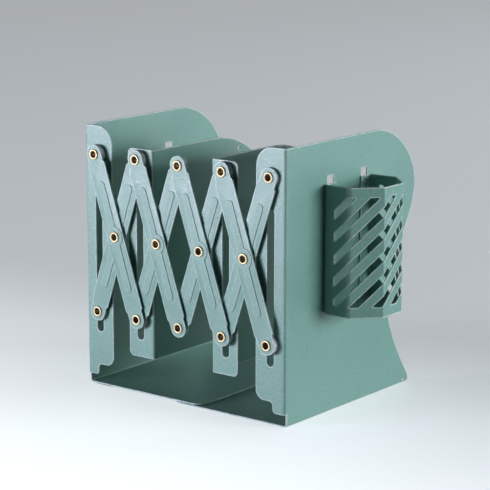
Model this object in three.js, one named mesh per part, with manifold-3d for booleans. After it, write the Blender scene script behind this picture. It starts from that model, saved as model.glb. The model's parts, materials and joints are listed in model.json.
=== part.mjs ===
// Expandable bookend: two folded sheet-steel end panels with base plates, two hanging dividers,
// a scissor linkage of eight pressed links on hollow eyelets, and a hook-on pen cup.
// Millimetres, +Z up, X is the direction in which it expands, the linkage is at the front (-Y).

import * as THREE from 'three';
import { mergeVertices } from 'three/addons/utils/BufferGeometryUtils.js';
import Module from 'manifold-3d';

const wasm = await Module();
wasm.setup();

// Driving sizes of the sheet work
const sheetThickness = 1.2;
const foldRadius = 2.2;
const clearance = 0.3;
const cutOverrun = 2;

// End panels
const panelHeight = 200;
const footDepth = 156;
const bulgeDepth = 162.6;
const bulgeDrop = 45;
const topStraight = 110;
const waistDepth = 127;
const waistHeight = 72;
const footRoundHeight = 10;
const footRoundDepth = 154.5;
const endFlangeWidth = 26;
const endFlangeTopRadius = 14;
const flangeFoot = 9.5;
const tongueWidth = 11;
const tongueHeight = 8.3;
const flangeFootRadius = 8;
const tongueRadius = 3;
const pivotInset = 13;
const shoulderShare = 0.49;
const bulgeShare = 0.33;
const waistShare = 0.34;
const ankleShares = { below: 0.355, before: 0.345, above: 0.21 };
const heelSwell = 4;
const heelShare = 0.3;
const heelRelief = 1;
const hookHoleWidth = 7.6;
const hookHoleHeight = 9.8;
const hookHoleDrop = 25.5;
const hookHoleSpacing = 42;

// Base plates: the right one lies on the floor and the left one slides over it
const basePlateLength = 108;
const basePlateFront = 2.4;
const basePlateRear = 150;
const basePlateCornerRadius = 10;
const padLength = 16;
const padWidth = 12;
const padThickness = sheetThickness;
const padInset = 2.6;

// Dividers
const dividerDrop = 13.3;
const dividerBottom = 30.3;
const dividerDepth = 147;
const dividerTopRadius = 73;
const dividerRearFootRadius = 18;
const dividerFlangeWidth = 24;
const dividerFlangeRadius = 4.2;
const hangHoleRadius = 1.6;
const hangHoleDepth = 101.6;
const hangHoleDrop = 11;

// Scissor linkage
const cellCount = 4;
const restSpacing = 40;
const topPivotDrop = 20.8;
const bottomPivotHeight = 59.7;
const linkThickness = 1.1;
const linkWidth = 16.4;
const linkTabRadius = 7;
const linkShoulder = 6;
const linkShoulderCut = 1.2;
const ribHalfWidth = 2.9;
const ribInset = 20.7;
const ribRise = 0.5;
const bossRadius = 7.3;
const linkGap = 1;
const spacerGap = 1.8;
const slotWidth = 6;
const slotRunOut = 16.2;
const slotHeadroom = 23.2;

// Eyelets, washers and spacers on the pivots
const eyeletBoreRadius = 2.3;
const eyeletBarrelRadius = 2.7;
const eyeletRimRadius = 4.1;
const eyeletRimRise = 0.7;
const pivotHoleRadius = 3;
const washerRadius = 6.9;
const washerClearance = 0.25;

// Pen cup
const cupWall = 1;
const cupHalfWidth = 28.8;
const cupSide = 23;
const cupChamfer = 17;
const cupRimDrop = 5.5;
const cupHeight = 94.2;
const cupCentreDepth = 74;
const cupFloorLift = 2;
const cupFlangeWidth = 13.2;
const cupFootCut = 3;
const cupSlotMarginSide = 8.7;
const cupSlotMarginTop = 7.5;
const cupSlotMarginBottom = 7.9;
const cupSlotPitch = 16.15;
const cupSlotRise = 6.6;
const cupSlotDrop = 17.8;
const cupSlotSlopeShare = 0.95;
const hookWidth = 4.8;
const hookWindowGap = 0.6;
const hookDrop = 6.8;

// Smoothness
const roundSegments = 12;
const arcSegments = 6;
const mergeTolerance = 1e-5;
const cornerTolerance = 1e-3;

// Places worked out from the sizes above
const bulgeHeight = panelHeight - bulgeDrop;
const hookHoleTop = panelHeight - hookHoleDrop;
const dividerTop = panelHeight - dividerDrop;
const cupTop = hookHoleTop - cupRimDrop;
const cupBottom = cupTop - cupHeight;
const topPivotHeight = panelHeight - topPivotDrop;
const middlePivotHeight = (topPivotHeight + bottomPivotHeight) / 2;
const linkPitch = Math.hypot(restSpacing, topPivotHeight - bottomPivotHeight);
const restAngle = Math.asin(restSpacing / linkPitch);
const slotBottom = bottomPivotHeight - slotRunOut;
const slotTop = topPivotHeight - slotHeadroom;
const leftFace = -pivotInset;
const rightFace = cellCount * restSpacing + pivotInset;
const leftDividerFace = restSpacing + pivotInset;
const rightDividerFace = (cellCount - 1) * restSpacing - pivotInset;
const basePlateLift = padThickness + clearance;
const frontLinkFace = -(spacerGap + linkGap + 2 * linkThickness);
const backLinkFace = -(spacerGap + linkThickness);
const cupBack = rightFace + clearance;
const hookHoleCentre = cupCentreDepth;

// Finishes
const paint = new THREE.MeshStandardMaterial({ name: 'sage_paint', color: 0x86b0ab, roughness: 0.55, metalness: 0 });
const brass = new THREE.MeshStandardMaterial({ name: 'brass', color: 0xd9b878, roughness: 0.28, metalness: 1 });
const nylon = new THREE.MeshStandardMaterial({ name: 'grey_nylon', color: 0x8d8884, roughness: 0.6, metalness: 0 });
const rubber = new THREE.MeshStandardMaterial({ name: 'pad_rubber', color: 0xb9bcbc, roughness: 0.85, metalness: 0 });

const part = new THREE.Group();

// Frames for an outline: its own x and y, and the way that it is extruded
const planYZ = new THREE.Matrix4().makeBasis(
  new THREE.Vector3(0, 1, 0), new THREE.Vector3(0, 0, 1), new THREE.Vector3(1, 0, 0));
const planXZ = new THREE.Matrix4().makeBasis(
  new THREE.Vector3(1, 0, 0), new THREE.Vector3(0, 0, 1), new THREE.Vector3(0, -1, 0));
const planXY = new THREE.Matrix4();

function solidOf(geometry) {
  const bare = geometry.clone();
  bare.deleteAttribute('normal');
  bare.deleteAttribute('uv');
  const merged = mergeVertices(bare, mergeTolerance);
  return new wasm.Manifold(new wasm.Mesh({
    numProp: 3,
    vertProperties: new Float32Array(merged.attributes.position.array),
    triVerts: new Uint32Array(merged.index.array),
  }));
}

// Corners that fall together within the tolerance become one, and triangles without area go
function geometryOf(solid) {
  const mesh = solid.getMesh();
  const raw = new THREE.BufferGeometry();
  raw.setAttribute('position', new THREE.BufferAttribute(new Float32Array(mesh.vertProperties), 3));
  raw.setIndex(new THREE.BufferAttribute(new Uint32Array(mesh.triVerts), 1));
  const geometry = mergeVertices(raw, cornerTolerance);
  const kept = [];
  for (let i = 0; i < geometry.index.count; i += 3) {
    const corners = [0, 1, 2].map((k) => geometry.index.getX(i + k));
    if (new Set(corners).size === corners.length) kept.push(...corners);
  }
  geometry.setIndex(kept);
  geometry.computeVertexNormals();
  return geometry;
}

// An outline given as a Shape or a list of corners, extruded from one level to the next.
// On planXZ the levels are distances to the rear, and the outline is extruded forwards.
function prism(outline, plane, from, to) {
  const shape = outline instanceof THREE.Shape ? outline : new THREE.Shape(outline.map(([x, y]) => new THREE.Vector2(x, y)));
  const geometry = new THREE.ExtrudeGeometry(shape, {
    depth: to - from,
    bevelEnabled: false,
    curveSegments: arcSegments,
  });
  geometry.translate(0, 0, plane === planXZ ? -to : from);
  geometry.applyMatrix4(plane);
  return solidOf(geometry);
}

function rectangle(x0, y0, x1, y1) {
  return [[x0, y0], [x1, y0], [x1, y1], [x0, y1]];
}

function circle(x, y, radius) {
  return Array.from({ length: roundSegments }, (_, i) => {
    const angle = (i / roundSegments) * 2 * Math.PI;
    return [x + radius * Math.cos(angle), y + radius * Math.sin(angle)];
  });
}

function obround(x, low, high, radius) {
  const shape = new THREE.Shape();
  shape.moveTo(x + radius, low);
  shape.lineTo(x + radius, high);
  shape.absarc(x, high, radius, 0, Math.PI, false);
  shape.lineTo(x - radius, low);
  shape.absarc(x, low, radius, Math.PI, 2 * Math.PI, false);
  return shape;
}

// The quarter bend of a folded sheet: outer radius foldRadius, between two legs of the sheet
function bendOutline() {
  const shape = new THREE.Shape();
  shape.moveTo(0, foldRadius);
  shape.absarc(foldRadius, foldRadius, foldRadius, Math.PI, 1.5 * Math.PI, false);
  shape.lineTo(foldRadius, sheetThickness);
  shape.absarc(foldRadius, foldRadius, foldRadius - sheetThickness, 1.5 * Math.PI, Math.PI, true);
  shape.lineTo(0, foldRadius);
  return shape;
}

function mirroredX(geometry) {
  const flipped = geometry.clone();
  flipped.scale(-1, 1, 1);
  const index = flipped.index;
  for (let i = 0; i < index.count; i += 3) {
    const second = index.getX(i + 1);
    index.setX(i + 1, index.getX(i + 2));
    index.setX(i + 2, second);
  }
  flipped.computeVertexNormals();
  return flipped;
}

function place(name, geometry, material, x = 0, y = 0, z = 0, turn = 0) {
  const mesh = new THREE.Mesh(geometry, material);
  mesh.name = name;
  mesh.position.set(x, y, z);
  mesh.rotation.y = turn;
  part.add(mesh);
  return mesh;
}

// End panels, drawn with the outer face at x = 0 and everything folded towards +x

function endWallOutline(foot) {
  const shape = new THREE.Shape();
  const shoulderDepth = bulgeDepth - topStraight;
  const shoulderHeight = panelHeight - bulgeHeight;
  const flankHeight = bulgeHeight - waistHeight;
  const ankleDepth = footRoundDepth - waistDepth;
  const ankleHeight = waistHeight - footRoundHeight;
  shape.moveTo(foldRadius, foot + foldRadius);
  shape.lineTo(basePlateRear + heelRelief, foot + foldRadius);
  shape.lineTo(basePlateRear + heelRelief, foot);
  shape.lineTo(footDepth, foot);
  shape.quadraticCurveTo(
    footDepth + heelSwell, foot + (footRoundHeight - foot) * heelShare,
    footRoundDepth, footRoundHeight);
  shape.bezierCurveTo(
    footRoundDepth - ankleDepth * ankleShares.before, footRoundHeight + ankleHeight * ankleShares.above,
    waistDepth, waistHeight - ankleHeight * ankleShares.below,
    waistDepth, waistHeight);
  shape.bezierCurveTo(
    waistDepth, waistHeight + flankHeight * waistShare,
    bulgeDepth, bulgeHeight - flankHeight * bulgeShare,
    bulgeDepth, bulgeHeight);
  shape.bezierCurveTo(
    bulgeDepth, bulgeHeight + shoulderHeight * shoulderShare,
    topStraight + shoulderDepth * shoulderShare, panelHeight,
    topStraight, panelHeight);
  shape.lineTo(foldRadius, panelHeight);
  shape.lineTo(foldRadius, foot + foldRadius);
  return shape;
}

function endFlangeOutline() {
  const shape = new THREE.Shape();
  const shelf = flangeFoot + tongueHeight;
  shape.moveTo(0, flangeFoot);
  shape.lineTo(tongueWidth - tongueRadius, flangeFoot);
  shape.absarc(tongueWidth - tongueRadius, flangeFoot + tongueRadius, tongueRadius, 1.5 * Math.PI, 2 * Math.PI, false);
  shape.lineTo(tongueWidth, shelf - tongueRadius);
  shape.absarc(tongueWidth + tongueRadius, shelf - tongueRadius, tongueRadius, Math.PI, Math.PI / 2, true);
  shape.lineTo(endFlangeWidth - flangeFootRadius, shelf);
  shape.absarc(endFlangeWidth - flangeFootRadius, shelf + flangeFootRadius, flangeFootRadius,
    1.5 * Math.PI, 2 * Math.PI, false);
  shape.lineTo(endFlangeWidth, panelHeight - endFlangeTopRadius);
  shape.absarc(endFlangeWidth - endFlangeTopRadius, panelHeight - endFlangeTopRadius, endFlangeTopRadius,
    0, Math.PI / 2, false);
  shape.lineTo(0, panelHeight);
  shape.lineTo(0, flangeFoot);
  return shape;
}

function basePlateOutline() {
  const shape = new THREE.Shape();
  const corner = basePlateLength - basePlateCornerRadius;
  shape.moveTo(foldRadius, basePlateFront);
  shape.lineTo(corner, basePlateFront);
  shape.absarc(corner, basePlateFront + basePlateCornerRadius, basePlateCornerRadius, 1.5 * Math.PI, 2 * Math.PI, false);
  shape.lineTo(basePlateLength, basePlateRear - basePlateCornerRadius);
  shape.absarc(corner, basePlateRear - basePlateCornerRadius, basePlateCornerRadius, 0, Math.PI / 2, false);
  shape.lineTo(foldRadius, basePlateRear);
  shape.lineTo(foldRadius, basePlateFront);
  return shape;
}

// A flange with its bend along the front edge of a wall, its slide slot and its top pivot hole
function frontFlange(outline, low, high) {
  const bend = prism(bendOutline(), planXY, low, high);
  const sheet = prism(rectangle(foldRadius, low, endFlangeWidth, high), planXZ, 0, sheetThickness);
  const slotHalf = slotWidth / 2;
  const slot = prism(obround(pivotInset, slotBottom + slotHalf, slotTop - slotHalf, slotHalf), planXZ,
    -cutOverrun, sheetThickness + cutOverrun);
  const pivotHole = prism(circle(pivotInset, topPivotHeight, pivotHoleRadius), planXZ,
    -cutOverrun, sheetThickness + cutOverrun);
  return bend.add(sheet)
    .intersect(prism(outline, planXZ, -cutOverrun, foldRadius + cutOverrun))
    .subtract(slot)
    .subtract(pivotHole);
}

function endPanel(foot) {
  const wall = prism(endWallOutline(foot), planYZ, 0, sheetThickness);
  const footBend = prism(bendOutline(), planXZ, basePlateFront, basePlateRear);
  const plate = prism(basePlateOutline(), planXY, foot, foot + sheetThickness);
  let panel = wall.add(solidOf(geometryOf(footBend).translate(0, 0, foot)))
    .add(plate)
    .add(frontFlange(endFlangeOutline(), flangeFoot, panelHeight));
  for (const side of [-1, 1]) {
    const middle = hookHoleCentre + (side * hookHoleSpacing) / 2;
    panel = panel.subtract(prism(
      rectangle(middle - hookHoleWidth / 2, hookHoleTop - hookHoleHeight, middle + hookHoleWidth / 2, hookHoleTop),
      planYZ, -cutOverrun, sheetThickness + cutOverrun));
  }
  return geometryOf(panel);
}

// Dividers

function dividerWallOutline() {
  const shape = new THREE.Shape();
  shape.moveTo(foldRadius, dividerBottom);
  shape.lineTo(dividerDepth - dividerRearFootRadius, dividerBottom);
  shape.absarc(dividerDepth - dividerRearFootRadius, dividerBottom + dividerRearFootRadius, dividerRearFootRadius,
    1.5 * Math.PI, 2 * Math.PI, false);
  shape.lineTo(dividerDepth, dividerTop - dividerTopRadius);
  shape.absarc(dividerDepth - dividerTopRadius, dividerTop - dividerTopRadius, dividerTopRadius,
    0, Math.PI / 2, false);
  shape.lineTo(foldRadius, dividerTop);
  shape.lineTo(foldRadius, dividerBottom);
  return shape;
}

function dividerFlangeOutline() {
  const shape = new THREE.Shape();
  const inner = dividerFlangeWidth - dividerFlangeRadius;
  shape.moveTo(0, dividerBottom);
  shape.lineTo(inner, dividerBottom);
  shape.absarc(inner, dividerBottom + dividerFlangeRadius, dividerFlangeRadius, 1.5 * Math.PI, 2 * Math.PI, false);
  shape.lineTo(dividerFlangeWidth, dividerTop - dividerFlangeRadius);
  shape.absarc(inner, dividerTop - dividerFlangeRadius, dividerFlangeRadius, 0, Math.PI / 2, false);
  shape.lineTo(0, dividerTop);
  shape.lineTo(0, dividerBottom);
  return shape;
}

function divider() {
  const wall = prism(dividerWallOutline(), planYZ, 0, sheetThickness);
  const hole = prism(circle(hangHoleDepth, dividerTop - hangHoleDrop, hangHoleRadius), planYZ,
    -cutOverrun, sheetThickness + cutOverrun);
  return geometryOf(wall.add(frontFlange(dividerFlangeOutline(), dividerBottom, dividerTop)).subtract(hole));
}

// Links: a strip with narrower round tabs, a pressed rib and a boss round the middle pivot.
// Drawn upright about the middle pivot, with the front face of the strip at y = 0.

function linkOutline() {
  const half = linkPitch / 2;
  const body = linkWidth / 2;
  const shoulder = half - linkShoulder;
  const shape = new THREE.Shape();
  shape.moveTo(body, -shoulder + linkShoulderCut);
  shape.lineTo(body, shoulder - linkShoulderCut);
  shape.lineTo(linkTabRadius, shoulder);
  shape.lineTo(linkTabRadius, half);
  shape.absarc(0, half, linkTabRadius, 0, Math.PI, false);
  shape.lineTo(-linkTabRadius, shoulder);
  shape.lineTo(-body, shoulder - linkShoulderCut);
  shape.lineTo(-body, -shoulder + linkShoulderCut);
  shape.lineTo(-linkTabRadius, -shoulder);
  shape.lineTo(-linkTabRadius, -half);
  shape.absarc(0, -half, linkTabRadius, Math.PI, 2 * Math.PI, false);
  shape.lineTo(linkTabRadius, -shoulder);
  shape.lineTo(body, -shoulder + linkShoulderCut);
  return shape;
}

function pressing(inset, from, to) {
  const reach = linkPitch / 2 - ribInset - ribHalfWidth;
  const rib = prism(obround(0, -reach, reach, ribHalfWidth - inset), planXZ, from, to);
  return rib.add(prism(circle(0, 0, bossRadius - inset), planXZ, from, to));
}

function link() {
  let strip = prism(linkOutline(), planXZ, 0, linkThickness)
    .add(pressing(0, -ribRise, linkThickness / 2))
    .subtract(pressing(ribRise, linkThickness - ribRise, linkThickness + cutOverrun));
  for (const end of [-1, 0, 1]) {
    strip = strip.subtract(prism(circle(0, (end * linkPitch) / 2, pivotHoleRadius), planXZ,
      -cutOverrun, linkThickness + cutOverrun));
  }
  return geometryOf(strip);
}

// Hollow eyelet through a stack that starts at y = 0 and is grip deep, with a rolled rim at each end
function eyelet(grip) {
  const rimMiddle = (eyeletBoreRadius + eyeletRimRadius) / 2;
  const front = -clearance;
  const rear = grip + clearance;
  const profile = [
    [eyeletBoreRadius, front],
    [rimMiddle - eyeletRimRise / 2, front - eyeletRimRise],
    [rimMiddle + eyeletRimRise / 2, front - eyeletRimRise],
    [eyeletRimRadius, front - eyeletRimRise / 2],
    [eyeletRimRadius, front],
    [eyeletBarrelRadius, front],
    [eyeletBarrelRadius, rear],
    [eyeletRimRadius, rear],
    [rimMiddle, rear + eyeletRimRise],
    [eyeletBoreRadius, rear],
    [eyeletBoreRadius, front],
  ];
  const geometry = new THREE.LatheGeometry(profile.map(([x, y]) => new THREE.Vector2(x, y)), roundSegments);
  return geometryOf(solidOf(geometry));
}

function ring(thickness) {
  const profile = [
    [pivotHoleRadius, 0],
    [washerRadius, 0],
    [washerRadius, thickness],
    [pivotHoleRadius, thickness],
    [pivotHoleRadius, 0],
  ];
  const geometry = new THREE.LatheGeometry(profile.map(([x, y]) => new THREE.Vector2(x, y)), roundSegments);
  return geometryOf(solidOf(geometry));
}

// Pen cup, drawn with its back at x = 0 and its middle at y = 0

function cupCorners(inset) {
  const corner = inset * Math.tan(Math.PI / 8);
  const half = cupHalfWidth - inset;
  const front = cupSide + cupChamfer - inset;
  return [
    [0, -half],
    [cupSide - corner, -half],
    [front, -(cupHalfWidth - cupChamfer) + corner],
    [front, cupHalfWidth - cupChamfer - corner],
    [cupSide - corner, half],
    [0, half],
  ];
}

// The slanting slots that cross one facet, cut square to it. They run on from facet to facet along
// the middle of the wall, and stop at a plain margin on every side of the slotted field.
function facetSlots(from, to, along, fieldEnd) {
  const run = new THREE.Vector2(to[0] - from[0], to[1] - from[1]);
  const reach = cupWall / 2;
  const left = Math.max(-reach, cupSlotMarginSide - along);
  const right = Math.min(run.length() + reach, fieldEnd - along);
  const low = cupBottom + cupSlotMarginBottom;
  const high = cupTop - cupSlotMarginTop;
  const depth = cupWall / 2 + cutOverrun;
  const direction = run.clone().normalize();
  const frame = new THREE.Matrix4().makeBasis(
    new THREE.Vector3(direction.x, direction.y, 0),
    new THREE.Vector3(0, 0, 1),
    new THREE.Vector3(direction.y, -direction.x, 0));
  frame.setPosition(from[0], from[1], 0);
  const field = prism(rectangle(left, low, right, high), frame, -depth, depth);
  const topAt = (index, x) =>
    cupTop - cupSlotDrop - index * cupSlotPitch + (along + x - cupSlotMarginSide) * cupSlotSlopeShare;
  const cutters = [];
  for (let index = 0; topAt(index, right) > low; index++) {
    if (topAt(index, left) - cupSlotRise >= high) continue;
    const slot = [
      [left, topAt(index, left) - cupSlotRise],
      [right, topAt(index, right) - cupSlotRise],
      [right, topAt(index, right)],
      [left, topAt(index, left)],
    ];
    cutters.push(prism(slot, frame, -depth - cutOverrun, depth + cutOverrun).intersect(field));
  }
  return { cutters, length: run.length() };
}

// A hook lanced from a back flange: it steps back through the panel and hangs down behind it
function cupHook() {
  const neckLow = hookHoleTop - hookHoleHeight + clearance;
  const neckHigh = neckLow + cupWall;
  const behind = -(2 * clearance + sheetThickness);
  const tip = hookHoleTop - hookHoleHeight - hookDrop + clearance;
  const profile = [
    [cupWall, neckHigh + cupWall],
    [0, neckHigh + cupWall],
    [0, neckHigh],
    [behind, neckHigh],
    [behind - cupWall, neckHigh - cupWall / 2],
    [behind - cupWall, tip],
    [behind, tip],
    [behind, neckLow],
    [cupWall / 2, neckLow],
    [cupWall, neckHigh],
  ];
  return { solid: prism(profile, planXZ, -hookWidth / 2, hookWidth / 2), neckHigh, tip };
}

function penCup() {
  let cup = prism([...cupCorners(0), ...cupCorners(cupWall).reverse()], planXY, cupBottom, cupTop);
  const folds = cupCorners(cupWall / 2);
  const facets = folds.slice(1).map((to, i) => [folds[i], to]);
  const unrolled = facets.reduce((sum, [from, to]) => sum + Math.hypot(to[0] - from[0], to[1] - from[1]), 0);
  let along = 0;
  for (const [from, to] of facets) {
    const { cutters, length } = facetSlots(from, to, along, unrolled - cupSlotMarginSide);
    for (const cutter of cutters) cup = cup.subtract(cutter);
    along += length;
  }
  // The floor is folded in from the front facet and stands clear of the others
  const floorLevel = cupBottom + cupFloorLift;
  const floorCorners = cupCorners(cupWall + clearance);
  const front = cupSide + cupChamfer - cupWall / 2;
  floorCorners[0][0] = clearance;
  floorCorners[5][0] = clearance;
  floorCorners[2][0] = front;
  floorCorners[3][0] = front;
  const tuck = clearance + cupWall / 2;
  floorCorners[2][1] += tuck;
  floorCorners[3][1] -= tuck;
  cup = cup.add(prism(floorCorners, planXY, floorLevel, floorLevel + cupWall));
  // Back flanges with their hooks, and the cut-off lower corners
  const hook = cupHook();
  for (const side of [-1, 1]) {
    const edge = side * cupHalfWidth;
    const inside = side * (cupHalfWidth - cupFlangeWidth);
    const flange = prism(
      rectangle(0, Math.min(edge, inside), cupWall, Math.max(edge, inside)), planXY, cupBottom, cupTop);
    const middle = (side * hookHoleSpacing) / 2;
    const half = hookWidth / 2 + hookWindowGap;
    const window = prism(rectangle(middle - half, hook.tip, middle + half, hook.neckHigh), planYZ,
      -cutOverrun, cupWall + cutOverrun);
    const cutCorner = prism(
      [[-cutOverrun, cupBottom - cutOverrun], [cupFootCut + cutOverrun, cupBottom - cutOverrun],
        [-cutOverrun, cupBottom + cupFootCut + cutOverrun]], planXZ,
      edge - cutOverrun, edge + cutOverrun);
    cup = cup.add(flange.subtract(window).add(hook.solid.translate([0, middle, 0]))).subtract(cutCorner);
  }
  return geometryOf(cup);
}

// Assembly

const endPanelLeft = endPanel(basePlateLift);
const endPanelRight = mirroredX(endPanel(0));
const dividerRight = divider();
place('left_end_panel', endPanelLeft, paint, leftFace);
place('right_end_panel', endPanelRight, paint, rightFace);
place('left_divider', mirroredX(dividerRight), paint, leftDividerFace);
place('right_divider', dividerRight, paint, rightDividerFace);

const linkGeometry = link();
for (let cell = 0; cell < cellCount; cell++) {
  const middle = (cell + 0.5) * restSpacing;
  place(`front_link_${cell + 1}`, linkGeometry, paint, middle, frontLinkFace, middlePivotHeight, -restAngle);
  place(`back_link_${cell + 1}`, linkGeometry, paint, middle, backLinkFace, middlePivotHeight, restAngle);
  const grip = backLinkFace + linkThickness - frontLinkFace;
  place(`middle_eyelet_${cell + 1}`, eyelet(grip), brass, middle, frontLinkFace - ribRise, middlePivotHeight);
}

// Pivots 1 to 5 of the top and bottom rows: which links meet there, and whether a flange carries them
const frontAt = { top: [1, 1, 1, 1, 0], bottom: [0, 1, 1, 1, 1] };
const backAt = { top: [0, 1, 1, 1, 1], bottom: [1, 1, 1, 1, 0] };
const flangeAt = [1, 1, 0, 1, 1];

for (const row of ['top', 'bottom']) {
  const height = row === 'top' ? topPivotHeight : bottomPivotHeight;
  for (let pivot = 0; pivot <= cellCount; pivot++) {
    const x = pivot * restSpacing;
    const front = frontAt[row][pivot] ? frontLinkFace : backLinkFace;
    const rear = flangeAt[pivot] ? sheetThickness : backLinkFace + linkThickness;
    place(`${row}_eyelet_${pivot + 1}`, eyelet(rear - front), brass, x, front, height);
    if (frontAt[row][pivot] && backAt[row][pivot]) {
      const washer = linkGap - 2 * washerClearance;
      place(`${row}_washer_${pivot + 1}`, ring(washer), nylon, x, backLinkFace - washerClearance - washer, height);
    }
    if (flangeAt[pivot]) {
      const gap = backAt[row][pivot] ? spacerGap : spacerGap + linkThickness + linkGap;
      const spacer = gap - 2 * washerClearance;
      place(`${row}_spacer_${pivot + 1}`, ring(spacer), nylon, x, -washerClearance - spacer, height);
    }
  }
}

place('pen_cup', penCup(), paint, cupBack, cupCentreDepth);

// Two thin pads hold the raised left plate level, near its wall and clear of the right plate
const padOutline = rectangle(0, 0, padLength, padWidth);
const pad = geometryOf(prism(padOutline, planXY, 0, padThickness));
place('left_pad_front', pad, rubber, leftFace + padInset, basePlateFront + padInset);
place('left_pad_rear', pad, rubber, leftFace + padInset, basePlateRear - padInset - padWidth);

// The origin is at the middle of the footprint, on the floor
const box = new THREE.Box3().setFromObject(part);
part.position.set(-(box.min.x + box.max.x) / 2, -(box.min.y + box.max.y) / 2, -box.min.z);

export default part;
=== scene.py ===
import json
import math
from collections import namedtuple

import bpy
import numpy as np
from mathutils import Matrix, Vector
from mathutils.geometry import delaunay_2d_cdt, interpolate_bezier

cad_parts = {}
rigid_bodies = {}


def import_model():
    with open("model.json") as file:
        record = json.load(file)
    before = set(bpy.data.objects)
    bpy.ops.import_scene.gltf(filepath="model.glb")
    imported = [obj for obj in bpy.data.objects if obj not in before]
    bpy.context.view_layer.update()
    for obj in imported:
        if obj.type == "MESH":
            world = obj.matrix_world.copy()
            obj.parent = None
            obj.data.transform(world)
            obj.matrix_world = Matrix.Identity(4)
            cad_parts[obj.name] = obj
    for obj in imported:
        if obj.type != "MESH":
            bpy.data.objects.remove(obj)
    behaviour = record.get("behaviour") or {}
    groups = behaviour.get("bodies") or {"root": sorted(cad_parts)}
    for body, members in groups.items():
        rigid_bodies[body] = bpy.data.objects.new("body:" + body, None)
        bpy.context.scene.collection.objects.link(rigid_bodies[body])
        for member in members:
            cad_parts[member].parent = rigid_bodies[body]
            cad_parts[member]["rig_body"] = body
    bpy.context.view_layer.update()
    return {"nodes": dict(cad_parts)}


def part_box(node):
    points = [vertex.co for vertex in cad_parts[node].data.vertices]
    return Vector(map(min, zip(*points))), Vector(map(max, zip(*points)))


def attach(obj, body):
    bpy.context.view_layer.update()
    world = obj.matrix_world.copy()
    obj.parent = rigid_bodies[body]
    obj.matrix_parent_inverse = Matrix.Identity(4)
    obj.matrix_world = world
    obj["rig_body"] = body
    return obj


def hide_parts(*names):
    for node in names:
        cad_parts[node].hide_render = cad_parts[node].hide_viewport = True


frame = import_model()

bl_info = {
    "name": "Expandable bookend",
    "version": (1, 0, 0),
    "blender": (4, 5, 0),
    "location": "3D View > Sidebar > Bookend",
    "description": "Builds the sheets, scissor links, eyelets and pen cup of an expandable bookend",
    "category": "Add Mesh",
}

MM = 0.001

# Places that the frame gives
CELLS = 4
TOP = [sum(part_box(f"top_eyelet_{i + 1}"), Vector()) / 2 for i in range(CELLS + 1)]
BOTTOM = [sum(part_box(f"bottom_eyelet_{i + 1}"), Vector()) / 2 for i in range(CELLS + 1)]
LEFT_LOW, LEFT_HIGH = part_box("left_end_panel")
RIGHT_LOW, RIGHT_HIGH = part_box("right_end_panel")
DIVIDER_LOW, DIVIDER_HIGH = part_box("left_divider")
RIGHT_DIVIDER_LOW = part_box("right_divider")[0]
CUP_LOW, CUP_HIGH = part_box("pen_cup")
PANEL_HEIGHT = LEFT_HIGH.z
TOP_PIVOT = TOP[0].z
BOTTOM_PIVOT = BOTTOM[0].z
PIVOT_INSET = TOP[0].x - LEFT_LOW.x
LINK_PITCH = math.hypot(TOP[1].x - TOP[0].x, TOP_PIVOT - BOTTOM_PIVOT)
FLANGE_FRONT = DIVIDER_LOW.y

# End panel wall, in distances from the flange's front face and from the floor
BULGE_DEPTH = 162.6 * MM
BULGE_DROP = 45 * MM
TOP_STRAIGHT = 110 * MM
WAIST_DEPTH = 127 * MM
WAIST_HEIGHT = 72 * MM
FOOT_DEPTH = 156 * MM
FOOT_ROUND_HEIGHT = 10 * MM
FOOT_ROUND_DEPTH = 154.5 * MM
SHOULDER_SHARE = 0.49
BULGE_SHARE = 0.33
WAIST_SHARE = 0.34
ANKLE_BELOW_SHARE = 0.355
ANKLE_BEFORE_SHARE = 0.345
ANKLE_ABOVE_SHARE = 0.21
HEEL_SWELL = 4 * MM
HEEL_SHARE = 0.3
HEEL_PULL_SHARE = 2 / 3
HEEL_RELIEF = 1 * MM
HOOK_HOLE_WIDTH = 7.6 * MM
HOOK_HOLE_HEIGHT = 9.8 * MM
HOOK_HOLE_DROP = 25.5 * MM
HOOK_HOLE_SPACING = 42 * MM
HOOK_HOLE_ROUND = 0.6 * MM
CUP_CENTRE_DEPTH = 74 * MM

# End panel flange and base plate
FLANGE_FOOT = 9.5 * MM
FLANGE_TOP_ROUND = 14 * MM
FLANGE_FOOT_ROUND = 8 * MM
TONGUE_WIDTH = 11 * MM
TONGUE_HEIGHT = 8.3 * MM
TONGUE_ROUND = 3 * MM
BASE_LENGTH = 108 * MM
BASE_FRONT = 2.4 * MM
BASE_REAR = 150 * MM
BASE_ROUND = 10 * MM

# Dividers
DIVIDER_TOP_ROUND = 73 * MM
DIVIDER_FOOT_ROUND = 18 * MM
DIVIDER_FLANGE = 24 * MM
DIVIDER_FLANGE_ROUND = 4.2 * MM
HANG_HOLE_RADIUS = 1.6 * MM
HANG_HOLE_DEPTH = 101.6 * MM
HANG_HOLE_DROP = 11 * MM

# Slots and pivot holes
SLOT_RUN_OUT = 16.2 * MM
SLOT_HEADROOM = 23.2 * MM
PIVOT_HOLE_RADIUS = 3 * MM

# Links
LINK_THICKNESS = 1.1 * MM
LINK_WIDTH = 16.4 * MM
TAB_RADIUS = 7 * MM
SHOULDER = 6 * MM
SHOULDER_CUT = 1.2 * MM
SHOULDER_ROUND = 0.6 * MM
RIB_INSET = 20.7 * MM
RIB_HALF_WIDTH = 2.9 * MM
BOSS_RADIUS = 7.3 * MM

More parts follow.
